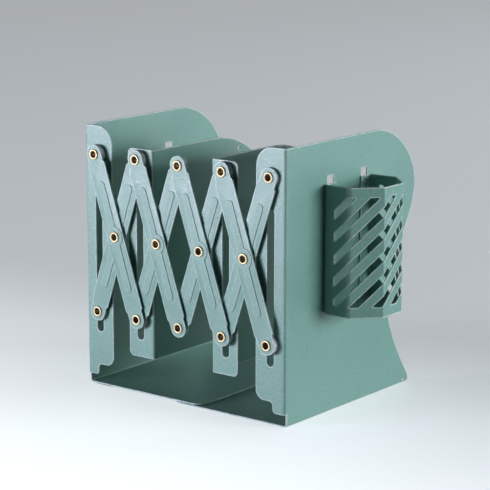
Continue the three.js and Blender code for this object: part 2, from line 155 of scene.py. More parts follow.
# Pen cup, its depth counted from the panel
CUP_WALL = 1 * MM
CUP_FOLD = 1.5 * MM
CUP_HALF = 28.8 * MM
CUP_SIDE = 23 * MM
CUP_CHAMFER = 17 * MM
CUP_FLANGE = 13.2 * MM
CUP_FOOT_CUT = 3 * MM
CUP_CORNER_ROUND = 0.5 * MM
CUP_FLOOR_LIFT = 2 * MM
CUP_SLOT_SIDE = 8.7 * MM
CUP_SLOT_TOP = 7.5 * MM
CUP_SLOT_FOOT = 7.9 * MM
CUP_SLOT_PITCH = 16.15 * MM
CUP_SLOT_RISE = 6.6 * MM
CUP_SLOT_DROP = 17.8 * MM
CUP_SLOT_SLOPE_SHARE = 0.95
CUP_SLOT_ROUND = 0.35 * MM
SMALLEST_SLOT = 2 * MM * MM
HOOK_WIDTH = 4.8 * MM
HOOK_WINDOW_GAP = 0.6 * MM
HOOK_DROP = 6.8 * MM
HOOK_ROUND = 1.2 * MM
CLEARANCE = 0.3 * MM

# Rolled and stacked fittings
CURL_STEPS = 12
EYELET_CREASE = math.radians(40)
LAYER_SOFTENING = 0.12 * MM
LAYER_RIM_SHARES = ((0.3, 0.5), (0, 1.4))
WASHER_CREASE = math.radians(50)
PAD_EDGE_ROUND = 0.3 * MM
# How far past the bore the painted shade in an eyelet fades out
BORE_FADE = 0.9 * MM

# Fineness of the meshes, and limits for working them out
DEGREES_A_STEP = 7.5
STRAIGHT_ENOUGH = math.radians(1)
BEND_STEPS = 8
ROUNDING_STEPS = 3
CURVE_STEPS = 40
TURN_STEPS = 56
RELIEF_SHARES = (-1.5, -0.5, -0.25, 0, 0.25, 0.5)
SLOPE_STEP = 0.01 * MM
SHARPEST_MITRE = -0.7
BLANK_REACH = 1.0
OVERRUN = 1 * MM
SAME_PLACE = 1e-6

# Pale cut edges, folds and ribs: how wide the pale edges are, and how pale the folds and ribs are beside
# them
# The pale cut edges are partly coat thinned by rubbing and partly a painted highlight where light catches
# the rounded edge
WEAR_AND_HIGHLIGHT_WIDTH = 0.9 * MM
WEAR_AND_HIGHLIGHT_SHARE = 0.02
# The pale folds and ribs are only a painted highlight where light catches the bend or the rib's step
FRONT_FOLD_HIGHLIGHT = 0.7
BASE_FOLD_HIGHLIGHT = 0.8
# Painted highlight along the crest of a link's rib and boss
RIB_HIGHLIGHT = 0.75

# Finishes: sizes of their grain and patches, their roughness, and how deep and high the grain is
Look = namedtuple("Look", "grain patch roughness depth height")
PAINT = Look(0.8 * MM, 60 * MM, 0.33, 1, 0.14 * MM)
BRASS = Look(0.25 * MM, 5 * MM, 0.42, 0.03, 0.02 * MM)
NYLON = Look(0.3 * MM, 4 * MM, 0.5, 0.2, 0.05 * MM)
FOAM = Look(0.5 * MM, 8 * MM, 0.85, 0.5, 0.2 * MM)

# Finishes: darkest and lightest tones, and the shares of specks, smudges and rubbing
PAINT_TONES = (0.92, 1.02)
PAINT_BREAKUP = 5 * MM
PAINT_SPECULAR = 0.8
SPECK_SHARE = 0.8
SPECK_TONE = 1.5
SPECK_MATTING = 0.08
SMUDGE_POLISH = -0.06
BRASS_SMUDGE = 0.12
BRASS_DULLING = 0.08
NYLON_DARK = 0.9
NYLON_RUBBED = 0.3
FOAM_TONES = (0.9, 1.1)
PORE_TONE = 0.7

# Noises of the shared node groups, as detail and roughness, and the part of each that shows
FINE_NOISE = (3, 0.6)
COARSE_NOISE = (1, 0.4)
SLOW_NOISE = (2, 0.5)
SMUDGE_NOISE = (4, 0.55)
COARSE_SCALE = 0.37
COARSE_SHARE = 0.6
SMUDGE_SCALE = 3.1
BREAKUP_SHARE = 0.5
SPECKLE_PART = (0.4, 0.72)
TONE_PART = (0.3, 0.7)
SMUDGE_PART = (0.5, 0.72)
BREAKUP_PART = (0.3, 0.65)
EDGE_PART = (0.25, 1.0)

# Lamps: turn round the object from the front and rise, in degrees, then width and height
LAMPS = {
    "key_lamp": (-28, 5, 0.8, 0.7),
    "sheen_lamp": (-39, 3, 0.8, 0.54),
    "fill_lamp": (112, 8, 2.1, 1.0),
    "back_lamp": (162, 12, 1.6, 1.2),
}
LAMP_DISTANCE = 3.5
SENSOR_WIDTH = 36

# Floor and backdrop
FLOOR_FADE = (0.25, -0.42)
BACKDROP_FADE = (0.02, 0.9)
FLOOR_REACH = 4.5
SWEEP_RADIUS = 1.5
SWEEP_STEPS = 16
BACKDROP_HEIGHT = 5.0
FLOOR_DROP = 0.05 * MM
FLOOR_PATCH = 400 * MM
FLOOR_DARK = 0.985
FLOOR_ROUGHNESS = 0.55


def length(label, about, default):
    """A length that the sidebar shows."""
    return bpy.props.FloatProperty(
        name=label, description=about, default=default, min=0, precision=5,
        unit="LENGTH", subtype="DISTANCE")


def share(label, about, default):
    """A share from nothing to all."""
    return bpy.props.FloatProperty(
        name=label, description=about, default=default, min=0, max=1, subtype="FACTOR")


def colour(label, about, default):
    """A colour, in the renderer's own linear values."""
    return bpy.props.FloatVectorProperty(
        name=label, description=about, default=default, size=3, min=0, max=1, subtype="COLOR")


def watts(label, about, default):
    """The power of a lamp."""
    return bpy.props.FloatProperty(name=label, description=about, default=default, min=0, unit="POWER")


def angle(label, about, degrees):
    """An angle, with its default in degrees."""
    return bpy.props.FloatProperty(
        name=label, description=about, default=math.radians(degrees), subtype="ANGLE", unit="ROTATION")


class BookendSheetSizes(bpy.types.PropertyGroup):
    """Sizes of the folded sheets and the pressed links"""

    thickness: length("Sheet thickness", "Steel of the end panels and dividers", 1.2 * MM)
    fold_radius: length("Fold radius", "Outer radius of a fold in the panels", 2.2 * MM)
    edge_round: length("Edge rounding", "How far paint rounds each cut edge", 0.35 * MM)
    flange_width: length("End flange width", "Front flange of an end panel", 26 * MM)
    slot_width: length("Slot width", "Slot that the lower eyelets slide in", 6 * MM)
    rib_rise: length("Rib rise", "Height of the pressed rib and boss of a link", 0.5 * MM)
    rib_slope: length("Rib slope", "Width of the pressed step beside a rib", 0.45 * MM)


class BookendFittingSizes(bpy.types.PropertyGroup):
    """Sizes of the eyelets, washers and pads"""

    bore_radius: length("Eyelet bore", "Radius of an eyelet's bore", 2.3 * MM)
    barrel_radius: length("Eyelet barrel", "Radius of an eyelet's barrel", 2.7 * MM)
    rim_radius: length("Eyelet rim", "Outer radius of the rolled rim", 4.1 * MM)
    rim_rise: length("Rim rise", "Height of the rolled rim", 0.7 * MM)
    rim_seat: length("Rim seat", "Gap under the rolled rim", 0.3 * MM)
    washer_bore: length("Washer bore", "Radius of the hole in a washer", 3 * MM)
    washer_layer: length("Washer layer", "Thickness of one layer of a stacked spacer", 0.6 * MM)
    pad_round: length("Pad rounding", "Rounding of a foam pad's corners", 2 * MM)


class BookendFinishes(bpy.types.PropertyGroup):
    """Colours of the finishes"""

    paint: colour("Powder coat", "Sage powder coat", (0.152, 0.352, 0.292))
    # Pale coat on cut edges, partly thinned coat and partly a painted highlight; the same colour paints
    # the highlight on folds and ribs
    edge_wear_and_highlight_colour: colour("Coat on edges", "Powder coat where it thins on cut edges", (0.70, 0.84, 0.82))
    brass: colour("Brass", "Eyelets", (0.52, 0.44, 0.28))
    # Dulled brass in patches, and painted shade deep in the eyelets' bores
    tarnish_and_bore_shade: colour("Tarnish", "Dulled brass in the hollows", (0.34, 0.23, 0.13))
    nylon: colour("Nylon", "Washers and spacers", (0.78, 0.76, 0.77))
    nylon_edge: colour("Nylon rim", "Rubbed rims of the washers", (0.88, 0.86, 0.87))
    foam: colour("Foam", "Pads under the left base plate", (0.30, 0.31, 0.31))
    grain_depth: share("Grain depth", "Strength of the powder coat's fine texture", 0.9)
    # How strongly that pale coat shows: thinned coat and painted highlight together
    wear_and_highlight: share("Edge wear", "How much paler the coat is along its edges", 1.0)


class BookendStudio(bpy.types.PropertyGroup):
    """Floor, lamps and camera"""

    floor: colour("Floor", "Plain pale floor and backdrop", (0.71, 0.78, 0.82))
    bounce: share("Floor bounce", "How much of the floor's colour lights the object from below", 0.15)
    backdrop: share("Backdrop", "How pale the backdrop is above the floor", 0.35)
    floor_glow: share("Floor glow", "Light that is added to the floor where the camera sees it", 1.0)
    far_glow: share("Far glow", "How much of that light is left behind the object", 0.35)
    glow_tint: colour("Glow tint", "Colour of that light", (0.94, 0.98, 1.0))
    key: watts("Key lamp", "Soft lamp at the front", 46)
    sheen: watts("Sheen lamp", "Low soft lamp that the front faces mirror to the camera", 55)
    fill: watts("Fill lamp", "Wide soft lamp at the right", 97)
    back: watts("Back lamp", "Soft lamp behind, for the views from there", 24)
    sky: share("Sky", "Brightness of the even light all round", 0.012)
    sky_tint: colour("Sky tint", "Colour of that even light", (0.85, 0.93, 1.0))
    key_tint: colour("Key tint", "Colour of the key lamp", (0.87, 0.85, 1.0))
    fill_tint: colour("Fill tint", "Colour of the fill lamp", (0.92, 0.93, 1.0))
    lens: bpy.props.FloatProperty(
        name="Lens", description="Focal length in millimetres", default=146.26, min=20, unit="CAMERA")
    camera_place: bpy.props.FloatVectorProperty(
        name="Camera", description="Where the camera stands", default=(0.87585, -1.15946, 0.42048),
        size=3, subtype="TRANSLATION", unit="LENGTH")
    azimuth: angle("Azimuth", "Turn of the camera round the object", 37.793)
    elevation: angle("Elevation", "Tilt of the camera down to the object", 12.057)
    roll: angle("Roll", "Turn of the camera about its own axis", 0.098)


# Outlines: loops of points with the material on their left


def rounded(corners):
    """A closed loop through corners given as x, y and a radius, each rounded by its radius."""
    loop = []
    count = len(corners)
    for i, (x, y, radius) in enumerate(corners):
        corner = Vector((x, y))
        before = Vector(corners[i - 1][:2]) - corner
        after = Vector(corners[(i + 1) % count][:2]) - corner
        opening = before.angle(after)
        if radius <= 0 or math.pi - opening < STRAIGHT_ENOUGH:
            loop.append(corner)
            continue
        reach = radius / math.tan(opening / 2)
        room = min(before.length, after.length) / 2
        if reach > room + SAME_PLACE:
            reach = room
            radius = reach * math.tan(opening / 2)
        middle = (before.normalized() + after.normalized()).normalized()
        centre = corner + middle * radius / math.sin(opening / 2)
        first = corner + before.normalized() * reach - centre
        sweep = math.pi - opening
        if before.x * after.y - before.y * after.x > 0:
            sweep = -sweep
        steps = max(2, math.ceil(math.degrees(abs(sweep)) / DEGREES_A_STEP))
        for step in range(steps + 1):
            spoke = first.copy()
            spoke.rotate(Matrix.Rotation(sweep * step / steps, 2))
            loop.append(centre + spoke)
    return without_doubles(loop)


def without_doubles(loop):
    """The loop without points that lie on the one before."""
    kept = [p for i, p in enumerate(loop) if (p - loop[i - 1]).length > SAME_PLACE]
    return np.array([(p.x, p.y) for p in kept])


def hole(loop):
    """A loop turned round, so that the material is outside it."""
    return loop[::-1]


def circle(x, y, radius):
    """A round loop."""
    angles = np.linspace(0, 2 * math.pi, TURN_STEPS, endpoint=False)
    return np.column_stack((x + radius * np.cos(angles), y + radius * np.sin(angles)))


def box_loop(x0, y0, x1, y1, radius):
    """A rectangular loop with rounded corners."""
    return rounded([(x0, y0, radius), (x1, y0, radius), (x1, y1, radius), (x0, y1, radius)])


def cubic(start, leave, arrive, end):
    """Sharp corners along a cubic curve, without its first point."""
    flat = [Vector((*p, 0)) for p in (start, leave, arrive, end)]
    return [(p.x, p.y, 0) for p in interpolate_bezier(*flat, CURVE_STEPS)[1:]]


def side_normals(loop):
    """Mitred vectors to the left of each corner of a loop."""
    before = loop - np.roll(loop, 1, axis=0)
    after = np.roll(loop, -1, axis=0) - loop
    before /= np.linalg.norm(before, axis=1)[:, None]
    after /= np.linalg.norm(after, axis=1)[:, None]
    left_before = np.column_stack((-before[:, 1], before[:, 0]))
    left_after = np.column_stack((-after[:, 1], after[:, 0]))
    along = np.clip((left_before * left_after).sum(axis=1), SHARPEST_MITRE, 1)
    return (left_before + left_after) / (1 + along)[:, None]


def inset(loop, distance):
    """A loop moved into its material."""
    return loop + side_normals(loop) * distance


def inside(points, loops):
    """Which points lie inside an odd number of loops."""
    odd = np.zeros(len(points), bool)
    for loop in loops:
        for (x0, y0), (x1, y1) in zip(loop, np.roll(loop, -1, axis=0)):
            spans = (y0 > points[:, 1]) != (y1 > points[:, 1])
            if y1 != y0:
                reach = x0 + (points[:, 1] - y0) * (x1 - x0) / (y1 - y0)
                odd ^= spans & (points[:, 0] < reach)
    return odd


def triangulated(loops, lines):
    """Triangles that fill the loops, with edges along every line."""
    points, edges = [], []
    for chain, closed in [(loop, True) for loop in loops] + [(line, False) for line in lines]:
        first = len(points)
        points += [Vector(p) for p in chain]
        edges += [(first + i, first + i + 1) for i in range(len(chain) - 1)]
        if closed:
            edges.append((first + len(chain) - 1, first))
    filled = delaunay_2d_cdt(points, edges, [], 0, SAME_PLACE)
    corners = np.array(filled[0])
    triangles = np.array(filled[2])
    kept = triangles[inside(corners[triangles].mean(axis=1), loops)]
    used, renumbered = np.unique(kept, return_inverse=True)
    return corners[used], renumbered.reshape(kept.shape)


def rims(triangles):
    """The borders of a set of triangles, each a list of corners in order."""
    directed = {(t[i], t[(i + 1) % 3]) for t in triangles.tolist() for i in range(3)}
    following = {a: b for a, b in directed if (b, a) not in directed}
    found = []
    while following:
        start = min(following)
        rim = [start]
        step = following.pop(start)
        while step != start:
            rim.append(step)
            step = following.pop(step)
        found.append(rim)
    return found


# Sheets: a flat blank, pressed, folded and given rounded edges


def edge_profile(thickness, rounding):
    """Steps round a cut edge: how far out, how deep from the sheet's middle, and which way they face."""
    front = []
    for i in range(1, ROUNDING_STEPS + 1):
        a = math.pi / 2 * i / ROUNDING_STEPS
        depth = rounding * (1 - math.cos(a)) - thickness / 2
        front.append((rounding * math.sin(a), depth, math.sin(a), -math.cos(a)))
    return front + [(out, -depth, side, -face) for out, depth, side, face in reversed(front)]


def sheet_mesh(name, loops, thickness, rounding, place, lines=(), relief=None, pale_share=None):
    """A closed sheet from a blank.

    place says where a flat point lands, relief how far it is pressed out and pale_share how pale it is,
    as a painted highlight on a fold or a rib. The cut edges are fully pale: thinned coat and a painted
    highlight.
    """
    blank_loops = [inset(loop, rounding) for loop in loops]
    wear_and_highlight_lines = [closed_line(inset(loop, rounding + wear_and_highlight_width(loop))) for loop in loops]
    flat, triangles = triangulated(blank_loops, [*lines, *wear_and_highlight_lines])
    press = relief or (lambda points: np.zeros(len(points)))
    slope = np.column_stack([
        (press(flat + step) - press(flat - step)) / (2 * SLOPE_STEP)
        for step in np.array(((SLOPE_STEP, 0), (0, SLOPE_STEP)))
    ])
    count = len(flat)
    spots = [flat, flat]
    depths = [-thickness / 2 - press(flat), thickness / 2 - press(flat)]
    facing = np.column_stack((slope, np.ones(count)))
    normals = [-facing, facing]
    # painted highlight along folds and ribs
    pale = pale_share(flat) if pale_share else np.zeros(count)
    wear_and_highlight_marks = [pale, pale.copy()]
    front_faces = triangles[:, ::-1].tolist()
    faces = front_faces + (triangles + count).tolist()
    total = 2 * count
    for rim in rims(triangles):
        ring = [np.array(rim)]
        outward = -side_normals(flat[rim])
        unit = outward / np.linalg.norm(outward, axis=1)[:, None]
        for out, depth, side, face in edge_profile(thickness, rounding):
            spots.append(flat[rim] + outward * out)
            depths.append(depth - press(flat[rim]))
            normals.append(np.column_stack((unit * side, np.full(len(rim), face))))
            # the rounded cut edge is fully pale: thinned coat and a painted highlight
            wear_and_highlight_marks.append(np.ones(len(rim)))
            ring.append(np.arange(total, total + len(rim)))
            total += len(rim)
        ring.append(np.array(rim) + count)
        wear_and_highlight_marks[0][rim] = 1
        wear_and_highlight_marks[1][rim] = 1
        for upper, lower in zip(ring, ring[1:]):
            faces += np.column_stack((upper, np.roll(upper, -1), np.roll(lower, -1), lower)).tolist()
    origin, across, up, inward = place(np.vstack(spots))
    local = np.vstack(normals)
    local /= np.linalg.norm(local, axis=1)[:, None]
    points = origin + inward * np.concatenate(depths)[:, None]
    turned = across * local[:, :1] + up * local[:, 1:2] + inward * local[:, 2:]
    if np.cross(across[0], up[0]) @ inward[0] < 0:
        faces = [face[::-1] for face in faces]
    mesh = bpy.data.meshes.new(name)
    mesh.from_pydata(points.tolist(), [], faces)
    mesh.shade_smooth()
    mesh.normals_split_custom_set_from_vertices(turned.tolist())
    # marks the pale coat: thinned coat and painted highlight on cut edges, painted highlight on folds and
    # ribs
    mark = mesh.attributes.new("worn_edge", "FLOAT", "POINT")
    mark.data.foreach_set("value", np.concatenate(wear_and_highlight_marks).astype(np.float32))
    return mesh


def wear_and_highlight_width(loop):
    """How wide the pale border of a loop is, thinned coat and painted highlight: less round a small hole.
    """
    around = np.linalg.norm(np.roll(loop, -1, axis=0) - loop, axis=1).sum()
    return min(WEAR_AND_HIGHLIGHT_WIDTH, around * WEAR_AND_HIGHLIGHT_SHARE)


def closed_line(loop):
    """A loop as an open line that ends where it starts."""
    return np.vstack((loop, loop[:1]))


def follow(distance, pieces, start, heading):
    """Places and headings along a path of (length, turn) pieces, in its own plane."""
    point = np.zeros((len(distance), 2)) + np.array(start)
    facing = np.full(len(distance), float(heading))
    left = distance.astype(float).copy()
    for run, turn in pieces:
        part = np.clip(left, 0, run)
        if turn:
            radius = run / turn
            swung = heading + part / radius
            point[:, 0] += radius * (np.sin(swung) - math.sin(heading))
            point[:, 1] += radius * (math.cos(heading) - np.cos(swung))
        else:
            swung = np.full(len(distance), heading)
            point += part[:, None] * np.array((math.cos(heading), math.sin(heading)))
        facing = np.where(left > 0, swung, facing)
        heading += turn
        left = left - run
    return point, facing


def on_bend(distance, start, run):
    """How far each place is into a bend: 1 along its middle, 0 outside it."""
    return np.clip(1 - np.abs(2 * (distance - start) / run - 1), 0, 1)


def bend_lines(start, run, low, high):
    """Lines across a bend of a blank, so that it can be folded there."""
    places = [start + run * i / BEND_STEPS for i in range(BEND_STEPS + 1)]
    return [np.array(((place, low), (place, high))) for place in places]


def path_bend_lines(pieces, low, high):
    """Lines across every bend of a path of (length, turn) pieces."""
    lines, reached = [], 0
    for run, turn in pieces:
        if turn:
            lines += bend_lines(reached, run, low, high)
        reached += run
    return lines


def crossed(lines):
    """Lines with their two directions exchanged."""
    return [line[:, ::-1] for line in lines]


def level_place(height, x=0, y=0):
    """How a blank lands that lies level at a height, moved by x and y."""

    def place(flat):
        origin = np.column_stack((x + flat[:, 0], y + flat[:, 1], np.full(len(flat), height)))
        return origin, *np.identity(3)[:, None]

    return place


def fold_arc(sizes):
    """The length of a panel's bend along the middle of its sheet."""
    return (sizes.fold_radius - sizes.thickness / 2) * math.pi / 2


def past_fold(distance, sizes):
    """Where a place on a flange lies on the blank, counted like the wall's own depth."""
    return 2 * sizes.fold_radius - fold_arc(sizes) - distance


def folded_panel(sizes, outer, side, foot=0):
    """How a panel's blank lands: a wall, a front flange and a base plate, each folded towards side."""
    arc = fold_arc(sizes)
    half = sizes.thickness / 2
    pieces = [(BLANK_REACH - sizes.fold_radius, 0), (arc, -math.pi / 2), (BLANK_REACH, 0)]
    tip = arc + BLANK_REACH - 2 * sizes.fold_radius

    def place(flat):
        depth, height = flat[:, 0], flat[:, 1] - foot
        plan, plan_heading = follow(depth + tip, pieces, (BLANK_REACH, half), math.pi)
        rise, rise_heading = follow(height + tip, pieces, (BLANK_REACH, half), math.pi)
        base = height < sizes.fold_radius
        origin = np.column_stack((
            outer + side * np.where(base, rise[:, 0], plan[:, 0]),
            FLANGE_FRONT + plan[:, 1],
            foot + np.where(base, rise[:, 1], height),
        ))
        zero = np.zeros(len(flat))
        across = np.column_stack((side * np.cos(plan_heading), np.sin(plan_heading), zero))
        up = np.column_stack((
            side * np.where(base, np.cos(rise_heading), 0), zero, np.where(base, np.sin(rise_heading), 1)))
        wall_inward = np.column_stack((side * np.sin(plan_heading), -np.cos(plan_heading), zero))
        base_inward = np.column_stack((side * np.sin(rise_heading), zero, -np.cos(rise_heading)))
        return origin, across, up, np.where(base[:, None], base_inward, wall_inward)

    return place


def end_panel_loops(sizes, foot):
    """The blank of an end panel: wall, base plate and front flange in one outline, with its holes."""

    def flange(x):
        return past_fold(x, sizes)

    def plate(x):
        return foot + past_fold(x, sizes)

    bulge_height = PANEL_HEIGHT - BULGE_DROP
    flank = bulge_height - WAIST_HEIGHT
    ankle_depth = FOOT_ROUND_DEPTH - WAIST_DEPTH
    ankle_height = WAIST_HEIGHT - FOOT_ROUND_HEIGHT
    shoulder_depth = BULGE_DEPTH - TOP_STRAIGHT
    slit_top = foot + sizes.fold_radius + HEEL_RELIEF / 2
    shelf = FLANGE_FOOT + TONGUE_HEIGHT
    width = sizes.flange_width
    heel_pull = Vector((FOOT_DEPTH + HEEL_SWELL, foot + (FOOT_ROUND_HEIGHT - foot) * HEEL_SHARE))
    heel_start = Vector((FOOT_DEPTH, foot))
    heel_end = Vector((FOOT_ROUND_DEPTH, FOOT_ROUND_HEIGHT))
    corners = [
        (BASE_FRONT, plate(BASE_LENGTH), BASE_ROUND),
        (BASE_REAR, plate(BASE_LENGTH), BASE_ROUND),
        (BASE_REAR, slit_top, 0),
        (BASE_REAR + HEEL_RELIEF, slit_top, 0),
        (BASE_REAR + HEEL_RELIEF, foot, 0),
        (FOOT_DEPTH, foot, 0),
        *cubic(
            heel_start,
            heel_start.lerp(heel_pull, HEEL_PULL_SHARE),
            heel_end.lerp(heel_pull, HEEL_PULL_SHARE),
            heel_end),
        *cubic(
            heel_end,
            (FOOT_ROUND_DEPTH - ankle_depth * ANKLE_BEFORE_SHARE,
             FOOT_ROUND_HEIGHT + ankle_height * ANKLE_ABOVE_SHARE),
            (WAIST_DEPTH, WAIST_HEIGHT - ankle_height * ANKLE_BELOW_SHARE),
            (WAIST_DEPTH, WAIST_HEIGHT)),
        *cubic(
            (WAIST_DEPTH, WAIST_HEIGHT),
            (WAIST_DEPTH, WAIST_HEIGHT + flank * WAIST_SHARE),
            (BULGE_DEPTH, bulge_height - flank * BULGE_SHARE),
            (BULGE_DEPTH, bulge_height)),
        *cubic(
            (BULGE_DEPTH, bulge_height),
            (BULGE_DEPTH, bulge_height + BULGE_DROP * SHOULDER_SHARE),
            (TOP_STRAIGHT + shoulder_depth * SHOULDER_SHARE, PANEL_HEIGHT),
            (TOP_STRAIGHT, PANEL_HEIGHT)),
        (flange(width), PANEL_HEIGHT, FLANGE_TOP_ROUND),
        (flange(width), shelf, FLANGE_FOOT_ROUND),
        (flange(TONGUE_WIDTH), shelf, TONGUE_ROUND),
        (flange(TONGUE_WIDTH), FLANGE_FOOT, TONGUE_ROUND),
        (BASE_FRONT, FLANGE_FOOT, 0),
    ]
    holes = flange_holes(sizes, flange(PIVOT_INSET))
    top = PANEL_HEIGHT - HOOK_HOLE_DROP
    half = HOOK_HOLE_WIDTH / 2
    for side in (-1, 1):
        middle = CUP_CENTRE_DEPTH + side * HOOK_HOLE_SPACING / 2
        window = box_loop(middle - half, top - HOOK_HOLE_HEIGHT, middle + half, top, HOOK_HOLE_ROUND)
        holes.append(hole(window))
    return [rounded(corners), *holes]


def flange_holes(sizes, middle):
    """The slot and the pivot hole of a front flange."""
    half = sizes.slot_width / 2
    low, high = BOTTOM_PIVOT - SLOT_RUN_OUT, TOP_PIVOT - SLOT_HEADROOM
    slot = box_loop(middle - half, low, middle + half, high, half)
    return [hole(slot), hole(circle(middle, TOP_PIVOT, PIVOT_HOLE_RADIUS))]


def divider_loops(sizes, low, high, depth):
    """The blank of a divider: wall and front flange, with its holes."""
    tip = past_fold(DIVIDER_FLANGE, sizes)
    corners = [
        (tip, low, DIVIDER_FLANGE_ROUND),
        (depth, low, DIVIDER_FOOT_ROUND),
        (depth, high, DIVIDER_TOP_ROUND),
        (tip, high, DIVIDER_FLANGE_ROUND),
    ]
    hang_hole = hole(circle(HANG_HOLE_DEPTH, high - HANG_HOLE_DROP, HANG_HOLE_RADIUS))
    return [rounded(corners), *flange_holes(sizes, past_fold(PIVOT_INSET, sizes)), hang_hole]


def front_bend_lines(sizes, low, high):
    """Lines down the fold between a wall and its front flange."""
    arc = fold_arc(sizes)
    return bend_lines(sizes.fold_radius - arc, arc, low, high)


def highlit_folds(sizes, foot=None):
    """How pale the folds of a panel are, as a painted highlight where light catches the bend: the flange's
    half of the front one, and all of the base one.
    """
    arc = fold_arc(sizes)

    def pale_share(flat):
        front = on_bend(flat[:, 0], sizes.fold_radius - arc, arc / 2) * FRONT_FOLD_HIGHLIGHT
        if foot is None:
            return front
        base = on_bend(flat[:, 1], foot + sizes.fold_radius - arc, arc) * BASE_FOLD_HIGHLIGHT
        return np.maximum(front, base)

    return pale_share


def base_bend_lines(sizes, foot):
    """Lines along the fold between a wall and its base plate."""
    arc = fold_arc(sizes)
    return crossed(bend_lines(foot + sizes.fold_radius - arc, arc, 0, BASE_REAR))


# Links


def link_loops():
    """The blank of a link: a strip with narrower round tabs and three pivot holes, about its middle."""
    half = LINK_PITCH / 2
    body = LINK_WIDTH / 2
    shoulder = half - SHOULDER
    end = half + TAB_RADIUS
    upper = [
        (body, shoulder - SHOULDER_CUT, SHOULDER_ROUND),
        (TAB_RADIUS, shoulder, SHOULDER_ROUND),
        (TAB_RADIUS, end, TAB_RADIUS),
        (-TAB_RADIUS, end, TAB_RADIUS),
        (-TAB_RADIUS, shoulder, SHOULDER_ROUND),
        (-body, shoulder - SHOULDER_CUT, SHOULDER_ROUND),
    ]
    lower = [(-x, -y, radius) for x, y, radius in upper]
    holes = [hole(circle(0, y, PIVOT_HOLE_RADIUS)) for y in (-half, 0, half)]
    return [rounded(upper + lower), *holes]


def link_relief(sizes):
    """How far each place on a link is pressed forwards, how pale it is as a painted highlight along the
    crest of its rib and boss, and the lines for that.
    """
    rib_end = LINK_PITCH / 2 - RIB_INSET - RIB_HALF_WIDTH

    def steps_out(points):
        over = np.maximum(np.abs(points[:, 1]) - rib_end, 0)
        rib = np.hypot(points[:, 0], over) - RIB_HALF_WIDTH
        boss = np.hypot(points[:, 0], points[:, 1]) - BOSS_RADIUS
        return np.minimum(rib, boss) / sizes.rib_slope

    def press(points):
        risen = np.clip(0.5 - steps_out(points), 0, 1)
        return sizes.rib_rise * risen * risen * (3 - 2 * risen)

    # painted highlight along the crest of the rib and boss
    def pale_share(points):
        return RIB_HIGHLIGHT * np.clip(1 - np.abs(steps_out(points) + 0.5), 0, 1)

    lines = []
    for step in RELIEF_SHARES:
        half = RIB_HALF_WIDTH + step * sizes.rib_slope
        lines.append(closed_line(box_loop(-half, -rib_end - half, half, rib_end + half, half)))
        lines.append(closed_line(circle(0, 0, BOSS_RADIUS + step * sizes.rib_slope)))
    return press, pale_share, lines


def link_place(top, bottom, front):
    """How a link's blank lands between its two end pivots."""
    middle = (top + bottom) / 2
    along = (top - bottom).normalized()
    along.y = 0
    sideways = Vector((along.z, 0, -along.x))

    def place(flat):
        origin = np.outer(flat[:, 0], sideways) + np.outer(flat[:, 1], along)
        origin += np.array((middle.x, front + LINK_THICKNESS / 2, middle.z))
        return origin, np.array([sideways]), np.array([along]), np.array([(0, 1, 0)])

    return place


# Turned pieces


def turned_mesh(name, profile, centre, smooth_angle):
    """A ring about an axis along the depth, from a closed profile of (radius, depth) points."""
    outline = np.array(profile)
    angles = np.linspace(0, 2 * math.pi, TURN_STEPS, endpoint=False)
    count = len(outline)
    points = []
    for spoke in angles:
        points.append(np.column_stack((
            centre.x + outline[:, 0] * math.cos(spoke),
            outline[:, 1],
            centre.z + outline[:, 0] * math.sin(spoke))))
    faces = []
    for turn in range(TURN_STEPS):
        here = turn * count
        there = (turn + 1) % TURN_STEPS * count
        for i in range(count):
            after = (i + 1) % count
            faces.append((here + i, here + after, there + after, there + i))
    mesh = bpy.data.meshes.new(name)
    mesh.from_pydata(np.vstack(points).tolist(), [], faces)
    mesh.shade_smooth()
    mesh.set_sharp_from_angle(angle=smooth_angle)
    return mesh


def mark_bore_shade(mesh, centre, radius):
    """Marks the points of a turned mesh that lie in its bore, where shade is painted."""
    mark = mesh.attributes.new("in_bore", "FLOAT", "POINT")
    for point, value in zip(mesh.vertices, mark.data):
        beyond = math.hypot(point.co.x - centre.x, point.co.z - centre.z) - radius
        value.value = min(max(1 - beyond / BORE_FADE, 0), 1)


def curl(low, high, level, rise):
    """A rolled curl from one radius to another, rising from a level."""
    middle, half = (low + high) / 2, (high - low) / 2
    angles = [math.pi * i / CURL_STEPS for i in range(CURL_STEPS + 1)]
    return [(middle - half * math.cos(a), level + rise * math.sin(a)) for a in angles]


def eyelet_profile(sizes, front, rear):
    """A hollow eyelet with a rolled rim at each end, from the front crest to the rear one."""
    front_level = front + sizes.rim_rise
    rear_level = rear - sizes.rim_rise
    front_curl = curl(sizes.bore_radius, sizes.rim_radius, front_level, -sizes.rim_rise)
    rear_curl = curl(sizes.bore_radius, sizes.rim_radius, rear_level, sizes.rim_rise)
    under = sizes.rim_radius - sizes.rim_seat / 2
    neck = [
        (under, front_level + sizes.rim_seat / 2),
        (sizes.barrel_radius, front_level + sizes.rim_seat / 2),
        (sizes.barrel_radius, rear_level - sizes.rim_seat / 2),
        (under, rear_level - sizes.rim_seat / 2),
    ]
    return front_curl + neck + rear_curl[::-1]


def washer_profile(sizes, inner, outer, front, rear):
    """A washer, or a stack of thin ones pressed together, with softened rims."""
    layers = max(1, round((rear - front) / sizes.washer_layer))
    thick = (rear - front) / layers
    soft = min(LAYER_SOFTENING, thick / 4)
    rim = [(outer - soft * back, soft * along) for back, along in LAYER_RIM_SHARES]
    points = [(inner, front)]
    for layer in range(layers):
        low = front + layer * thick
        points.append((outer - soft, low))
        points += [(radius, low + along) for radius, along in rim]
        points += [(radius, low + thick - along) for radius, along in reversed(rim)]
    return points + [(outer - soft, rear), (inner, rear)]


# Pen cup


